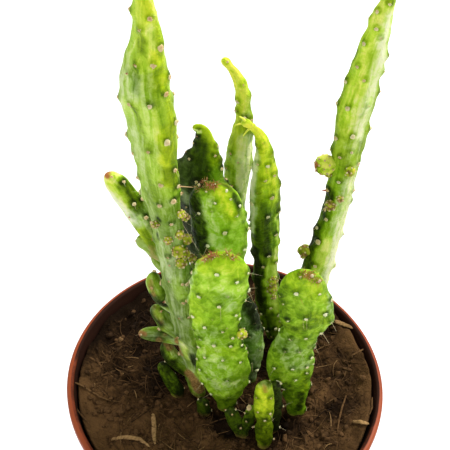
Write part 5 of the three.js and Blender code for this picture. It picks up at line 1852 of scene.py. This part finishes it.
class CACTUS_OT_skins(bpy.types.Operator):
    """Grows the skin of every stem, with its tubercles, buds and young leaves"""

    bl_idname = "cactus.make_skins"
    bl_label = "Make the stems' skins"

    RING_GAP = 0.7
    # Points round a pad, points round a shoot, and the half width up to which it is a shoot.
    SIDES, SHOOT_SIDES, SHOOT_HALF = 80, 44, 4.0
    TUBERCLE_WIDTH = 1.9
    # The ring of painted shade round an areole.
    HALO_RADIUS, HALO_WIDTH = 0.75, 0.5

    def execute(self, context):
        finishes = {
            slot: skin_finish(slot.replace("stem_", "") + "_skin", *amounts)
            for slot, amounts in SKINS.items()
        }
        for name, stem in STEMS.items():
            mould = Mould(*MARKS, "halo", "grain")
            for index, pad in enumerate(pads_of(name)):
                self.add_pad(mould, name, index, pad, context.scene.cactus_skin)
            for i, bud in enumerate(buds_of(name)):
                self.add_bud(mould, NOISE["buds"] + i, *bud)
            for ends in rows_of(stem.get("leaves", "")):
                self.add_leaf(mould, np.array(ends[:3]), np.array(ends[3:]))
            mould.piece(name + "_skin", finishes[stem["slot"]], name, stem["slot"])
        return {"FINISHED"}

    def add_pad(self, mould, name, index, pad, look):
        """One pad: an even net of rings, pushed out where areoles stand."""
        stops = pad.rings(self.RING_GAP)
        sides = self.SIDES if np.max(pad.halves) > self.SHOOT_HALF else self.SHOOT_SIDES
        turns = np.linspace(-math.pi, math.pi, sides, endpoint=False)
        s, angle = (grid.ravel() for grid in np.meshgrid(stops, turns, indexing="ij"))
        s = np.concatenate([[0.0], s, [pad.length]])
        angle = np.concatenate([[0.0], angle, [0.0]])
        points, outs = pad.surface(s, angle), pad.outward(s, angle)
        outs[0], outs[-1] = -pad.alongs[0], pad.alongs[-1]
        swell, halo = np.zeros(len(s)), np.zeros(len(s))
        for row, place, _, up in zip(*areoles_of(name)):
            if row[0] == index:
                swell = np.maximum(swell, np.exp(
                    -np.sum((points - place) ** 2, axis=1) / self.TUBERCLE_WIDTH**2
                ))
                # A ring of painted shade, set a little towards the pad's tip from the areole.
                away = np.linalg.norm(points - place - up * 0.4 * row[3], axis=1)
                ring = np.exp(-(((away - self.HALO_RADIUS) / self.HALO_WIDTH) ** 2))
                halo = np.maximum(halo, ring * min(row[3], 1.2))
        ends = ramp(pad.length - s, 0.0, 2.0)
        push = look.tubercle / MM * swell
        push += look.sway / MM * ends * rough(points, 7.0, NOISE["sway"], 2)
        push *= min(1.0, np.max(pad.halves) / 4.5)
        push += 0.2 * ends * rough(points, 2.6, NOISE["grain"], 2)
        offset = points - pad.between(pad.points, s)
        grain = [
            *(np.einsum("nk,nk->n", offset, pad.between(way, s))
              for way in (pad.acrosses, pad.throughs)),
            s * STEMS[name]["grain"] + pad.points[0, 0] * 3.7,
        ]
        mould.add(
            (points + outs * push[:, None], ring_faces(len(stops), sides)),
            halo=halo, grain=np.stack(grain, axis=1), **painted(name, points, outs),
        )

    def add_bud(self, mould, seed, middle, out, radius, stretch):
        """A round young bud with a scaly, uneven skin; a large one is a smooth ball."""
        ball = radius > BALL_RADIUS
        shape = knob(middle, out, radius, radius * stretch, 17, 28)
        shape, directions, scale = uneven(
            shape, radius * 0.6, seed, radius * (0.08 if ball else 0.18)
        )
        creases = ramp(-scale, 0.1, 0.5)
        if ball:
            spots = ramp(scale * 0.8 + ramp(directions @ out, 0.3, 1.0), 0.45, 0.85)
            marks = {"tone": 1.0 - 0.6 * spots, "gold": 0.7, "blush": 0.7 * spots}
        else:
            marks = {"tone": 0.66 + 0.6 * scale, "gold": 1.0, "cork": 0.42 + 0.3 * creases}
        # Painted shade darkens the bud's creases.
        mould.add(shape, halo=0.8 * creases, grain=shape[0], **marks)

    def add_leaf(self, mould, start, end):
        """A small awl-shaped leaf of young growth."""
        reach = end - start
        steps = np.linspace(-0.15, 1, 10)[:, None]
        bow = Z * 0.12 * np.linalg.norm(reach) * np.sin(np.maximum(steps, 0) * math.pi)
        shape = strand(start + Z * SOIL_LEVEL + reach * steps + bow, 0.62, sides=10)
        mould.add(shape, tone=0.93, gold=0.8, grain=shape[0])


def each_stem(kind, seed, finish, *marks):
    """Gives each stem's number, name, table, random draws and mould, then makes its piece."""
    for number, (name, stem) in enumerate(STEMS.items()):
        mould = Mould(*marks)
        yield number, name, stem, np.random.default_rng(SEED + seed + number), mould
        if mould.count:
            mould.piece(name + kind, finish, name, stem["slot"])


def tuft_spot(stem_name, random, x, y, reach):
    """A random place of a tuft's patch of skin and the direction out of it."""
    turn = 2 * math.pi * random.random()
    away = 2.3 * reach * math.sqrt(random.random())
    return skin_at(stem_name, x + away * math.cos(turn), y + 0.6 * away * math.sin(turn))


class CACTUS_OT_areoles(bpy.types.Operator):
    """Sets a cushion of wool with its barbed bristles on every areole"""

    bl_idname = "cactus.make_areoles"
    bl_label = "Make the areoles"

    CUSHION_BRISTLES = 9
    # Woolly points on a bud, on one of the dense radii, and on a ball.
    BUD_POINTS, DENSE_BUD_POINTS, BALL_POINTS = 11, 14, 24
    DENSE_BUDS = (1.8, 2.2)
    # The turn from one point to the next that spreads them evenly, in radians.
    GOLDEN_TURN = 2.39996

    def execute(self, context):
        lift = 0.72 * context.scene.cactus_skin.tubercle / MM
        for number, name, stem, random, mould in each_stem(
            "_wool", 50, wool_finish(), "tone", "core"
        ):
            tone, radius = stem["wool"]
            for i, (row, place, out, up) in enumerate(zip(*areoles_of(name))):
                own = np.clip(tone + 0.4 * (random.random() - 0.5), 0, 1)
                size = radius * row[3] * (0.85 + 0.3 * random.random())
                seed = number * 1000 + i
                self.cushion(mould, place + out * lift, out, up, size, own, seed, random)
            for i, bud in enumerate(buds_of(name)):
                self.dress_bud(mould, *bud, number * 1000 + 700 + i, random)
            for x, y, reach in rows_of(stem.get("tufts", "")):
                for _ in range(int(2.5 * reach)):
                    place, out = tuft_spot(name, random, x, y, reach)
                    shape = knob(place + out * 0.2, out, 0.22, 0.3, 4, 7)
                    mould.add(shape[:2], tone=0.6 * random.random())
        return {"FINISHED"}

    def cushion(self, mould, seat, out, up, radius, tone, seed, random):
        """A felted cushion, brown where the bristles break out of its upper half."""
        shape = knob(seat, out, radius, radius * 0.7, 6, 10)
        shape, directions, felt = uneven(shape, radius * 0.7, seed, radius * 0.45)
        core = ramp(directions @ unit(out + up * 0.6), 0.8, 0.99) * (0.05 + 0.7 * tone)
        mould.add(shape, tone=tone, core=core * (0.4 + 0.6 * ramp(felt, -0.3, 0.2)))
        count = self.CUSHION_BRISTLES
        tuft(mould, random, seat, out, count, radius * 1.25, 0.07, 1.3, tone=tone * 0.8)

    def dress_bud(self, mould, middle, out, radius, stretch, seed, random):
        """Small woolly points all over a bud, as the areoles of a pad to come."""
        least, most = self.DENSE_BUDS
        count = self.DENSE_BUD_POINTS if least < radius < most else self.BUD_POINTS
        if radius > BALL_RADIUS:
            count = self.BALL_POINTS
        for k in range(count):
            height = 1 - 1.5 * (k + 0.5) / count
            flat = math.sqrt(max(1 - height * height, 0))
            sideways = beside(out, self.GOLDEN_TURN * k + seed)
            direction = out * height * stretch + sideways * flat
            seat = middle + direction * radius * 1.02
            size = 0.3 + 0.16 * random.random()
            shape = knob(seat, unit(direction), size, size * 0.8, 4, 7)
            tone, brown = 0.3 + 0.5 * random.random(), 0.1 + 0.4 * random.random()
            core = brown * (0.4 + 0.6 * ramp(height, 0.0, 0.6))
            mould.add(shape[:2], tone=tone, core=core)


class CACTUS_OT_spines(bpy.types.Operator):
    """Grows bristles and long spines out of the areoles"""

    bl_idname = "cactus.make_spines"
    bl_label = "Make the spines"

    # Half thickness of a long spine, and the share of areoles that have one.
    SPINE_HALF, SPINY = 0.06, 0.14
    AREOLE_BRISTLES, BUD_BRISTLES, BALL_BRISTLES = 6, 14, 30

    def execute(self, context):
        length = context.scene.cactus_areoles.spine / MM
        for _, name, stem, random, mould in each_stem("_spines", 90, spine_finish(), "tone"):
            wool, radius = stem["wool"]
            for _, place, out, up in zip(*areoles_of(name)):
                seat = place + out * 0.7 + up * 0.3 * radius
                count, tone = self.AREOLE_BRISTLES, 0.18 + 1.2 * wool
                tuft(mould, random, seat, out, count, radius * 1.3, 0.05, 0.6, tone=tone)
                if random.random() < self.SPINY:
                    self.long_spine(mould, random, seat, out, length)
            for middle, out, size, stretch in buds_of(name):
                seat = middle + out * size * stretch * 0.8
                count = self.BALL_BRISTLES if size > BALL_RADIUS else self.BUD_BRISTLES
                tuft(mould, random, seat, out, count, 0.9, 0.07, 1.2, tone=0.5)
            for x, y, reach in rows_of(stem.get("tufts", "")):
                for _ in range(int(14 * reach)):
                    place, out = tuft_spot(name, random, x, y, reach)
                    tone = 1.0 - 0.7 * random.random() ** 2
                    tuft(mould, random, place, out, 3, 1.9, 0.075, 1.0, tone=tone)
            for x, y, tip_x, tip_y, half, tone in rows_of(stem.get("spines", "")):
                place, out = skin_at(name, x, y)
                root, tip = place + out * 0.3, at_depth_of(place + out, tip_x, tip_y)
                path = root + (tip - root) * np.linspace(0, 1, 6)[:, None]
                mould.add(strand(path, half, sides=5, point=0.35), tone=tone)
        return {"FINISHED"}

    def long_spine(self, mould, random, seat, out, length):
        """One long, slightly curved spine, left out where its tip would rise near the top of the
        solids' box.
        """
        lean = beside(out, 2 * math.pi * random.random()) * 0.9 * random.random()
        reach = unit(out + lean) * length * (0.45 + 0.8 * random.random())
        if (seat + reach)[2] > CAD_BOX[1][2] / MM - 0.5:
            return
        part = np.array([-0.05, 0.4, 0.75, 1.0])[:, None]
        sag = Z * -0.08 * length * part**2
        mould.add(strand(seat + reach * part + sag, self.SPINE_HALF), tone=0.25 * random.random())


class CACTUS_OT_stage(bpy.types.Operator):
    """Sets the floor, the soft lights and the photograph's camera"""

    bl_idname = "cactus.make_stage"
    bl_label = "Make the stage"

    FLOOR_REACH, FLOOR_TILES = 4.0, 8
    KEY_AT, KEY_SIZE = (0.40, 0.34, 0.85), 0.45
    FILL_AT, FILL_SIZE = (-0.55, -0.45, 0.75), 0.8
    AIM = (0.0, 0.0, 0.14)

    def execute(self, context):
        look = context.scene.cactus_stage
        self.floor()
        self.light("key_light", self.KEY_AT, self.KEY_SIZE, look.key)
        self.light("fill_light", self.FILL_AT, self.FILL_SIZE, look.fill)
        context.scene.world = self.surround(look.surround)
        context.scene.camera = self.camera()
        context.scene.view_settings.view_transform = "Standard"
        return {"FINISHED"}

    def floor(self):
        """A wide, level floor of tiles."""
        tiles = self.FLOOR_TILES
        steps = np.linspace(-self.FLOOR_REACH, self.FLOOR_REACH, tiles + 1)
        corners = [row * (tiles + 1) + i for row in range(tiles) for i in range(tiles)]
        faces = [(k, k + 1, k + tiles + 2, k + tiles + 1) for k in corners]
        mesh = bpy.data.meshes.new("floor")
        mesh.from_pydata([(x, y, 0.0) for y in steps for x in steps], [], faces)
        mesh.materials.append(floor_finish())
        made = placed("floor", mesh)

    def light(self, name, place, size, power):
        """One square, soft light that looks at the plant."""
        lamp = bpy.data.lights.new(name, "AREA")
        lamp.energy, lamp.size = power, size
        made = placed(name, lamp)
        made.location = place
        aim = Vector(self.AIM) - Vector(place)
        made.rotation_euler = aim.to_track_quat("-Z", "Y").to_euler()

    def surround(self, strength):
        """An even white world."""
        world = bpy.data.worlds.new("white_surround")
        world.use_nodes = True
        background = world.node_tree.nodes["Background"]
        background.inputs["Color"].default_value = (1.0, 1.0, 1.0, 1.0)
        background.inputs["Strength"].default_value = strength
        return world

    def camera(self):
        """The photograph's camera."""
        lens = bpy.data.cameras.new("photo_camera")
        lens.lens, lens.sensor_width, lens.sensor_fit = LENS_MM, SENSOR_MM, "HORIZONTAL"
        lens.clip_start, lens.clip_end = 0.02, 30.0
        made = placed("photo_camera", lens)
        turn = Matrix([RIGHT, UP, -FORWARD]).transposed().to_4x4()
        made.matrix_world = Matrix.Translation(Vector(CAMERA_AT * MM)) @ turn
        return made


class CACTUS_PT_makers(bpy.types.Panel):
    """The steps that make the plant, in order"""

    bl_idname = "CACTUS_PT_makers"
    bl_label = "Potted paddle cactus"
    bl_space_type = "VIEW_3D"
    bl_region_type = "UI"
    bl_category = "Cactus"

    def draw(self, context):
        for operator in OPERATORS:
            self.layout.operator(operator.bl_idname)
        for name, group in LOOKS.items():
            box = self.layout.box()
            box.label(text=group.__doc__)
            for field in group.__annotations__:
                box.prop(getattr(context.scene, name), field)


OPERATORS = (
    CACTUS_OT_stage, CACTUS_OT_pot, CACTUS_OT_soil, CACTUS_OT_litter, CACTUS_OT_skins,
    CACTUS_OT_areoles, CACTUS_OT_spines,
)
CLASSES = (*LOOKS.values(), *OPERATORS, CACTUS_PT_makers)


def register():
    """Registers the classes and hangs the look settings on the scene."""
    for item in CLASSES:
        bpy.utils.register_class(item)
    for name, group in LOOKS.items():
        setattr(bpy.types.Scene, name, PointerProperty(type=group))


def unregister():
    """Takes away what register added."""
    for name in LOOKS:
        delattr(bpy.types.Scene, name)
    for item in reversed(CLASSES):
        bpy.utils.unregister_class(item)


def main():
    """Makes every piece in order."""
    register()
    bpy.ops.cactus.make_stage()
    bpy.ops.cactus.make_pot()
    bpy.ops.cactus.make_soil()
    bpy.ops.cactus.make_litter()
    bpy.ops.cactus.make_skins()
    bpy.ops.cactus.make_areoles()
    bpy.ops.cactus.make_spines()
    bpy.context.view_layer.update()


if __name__ == "__main__":
    main()
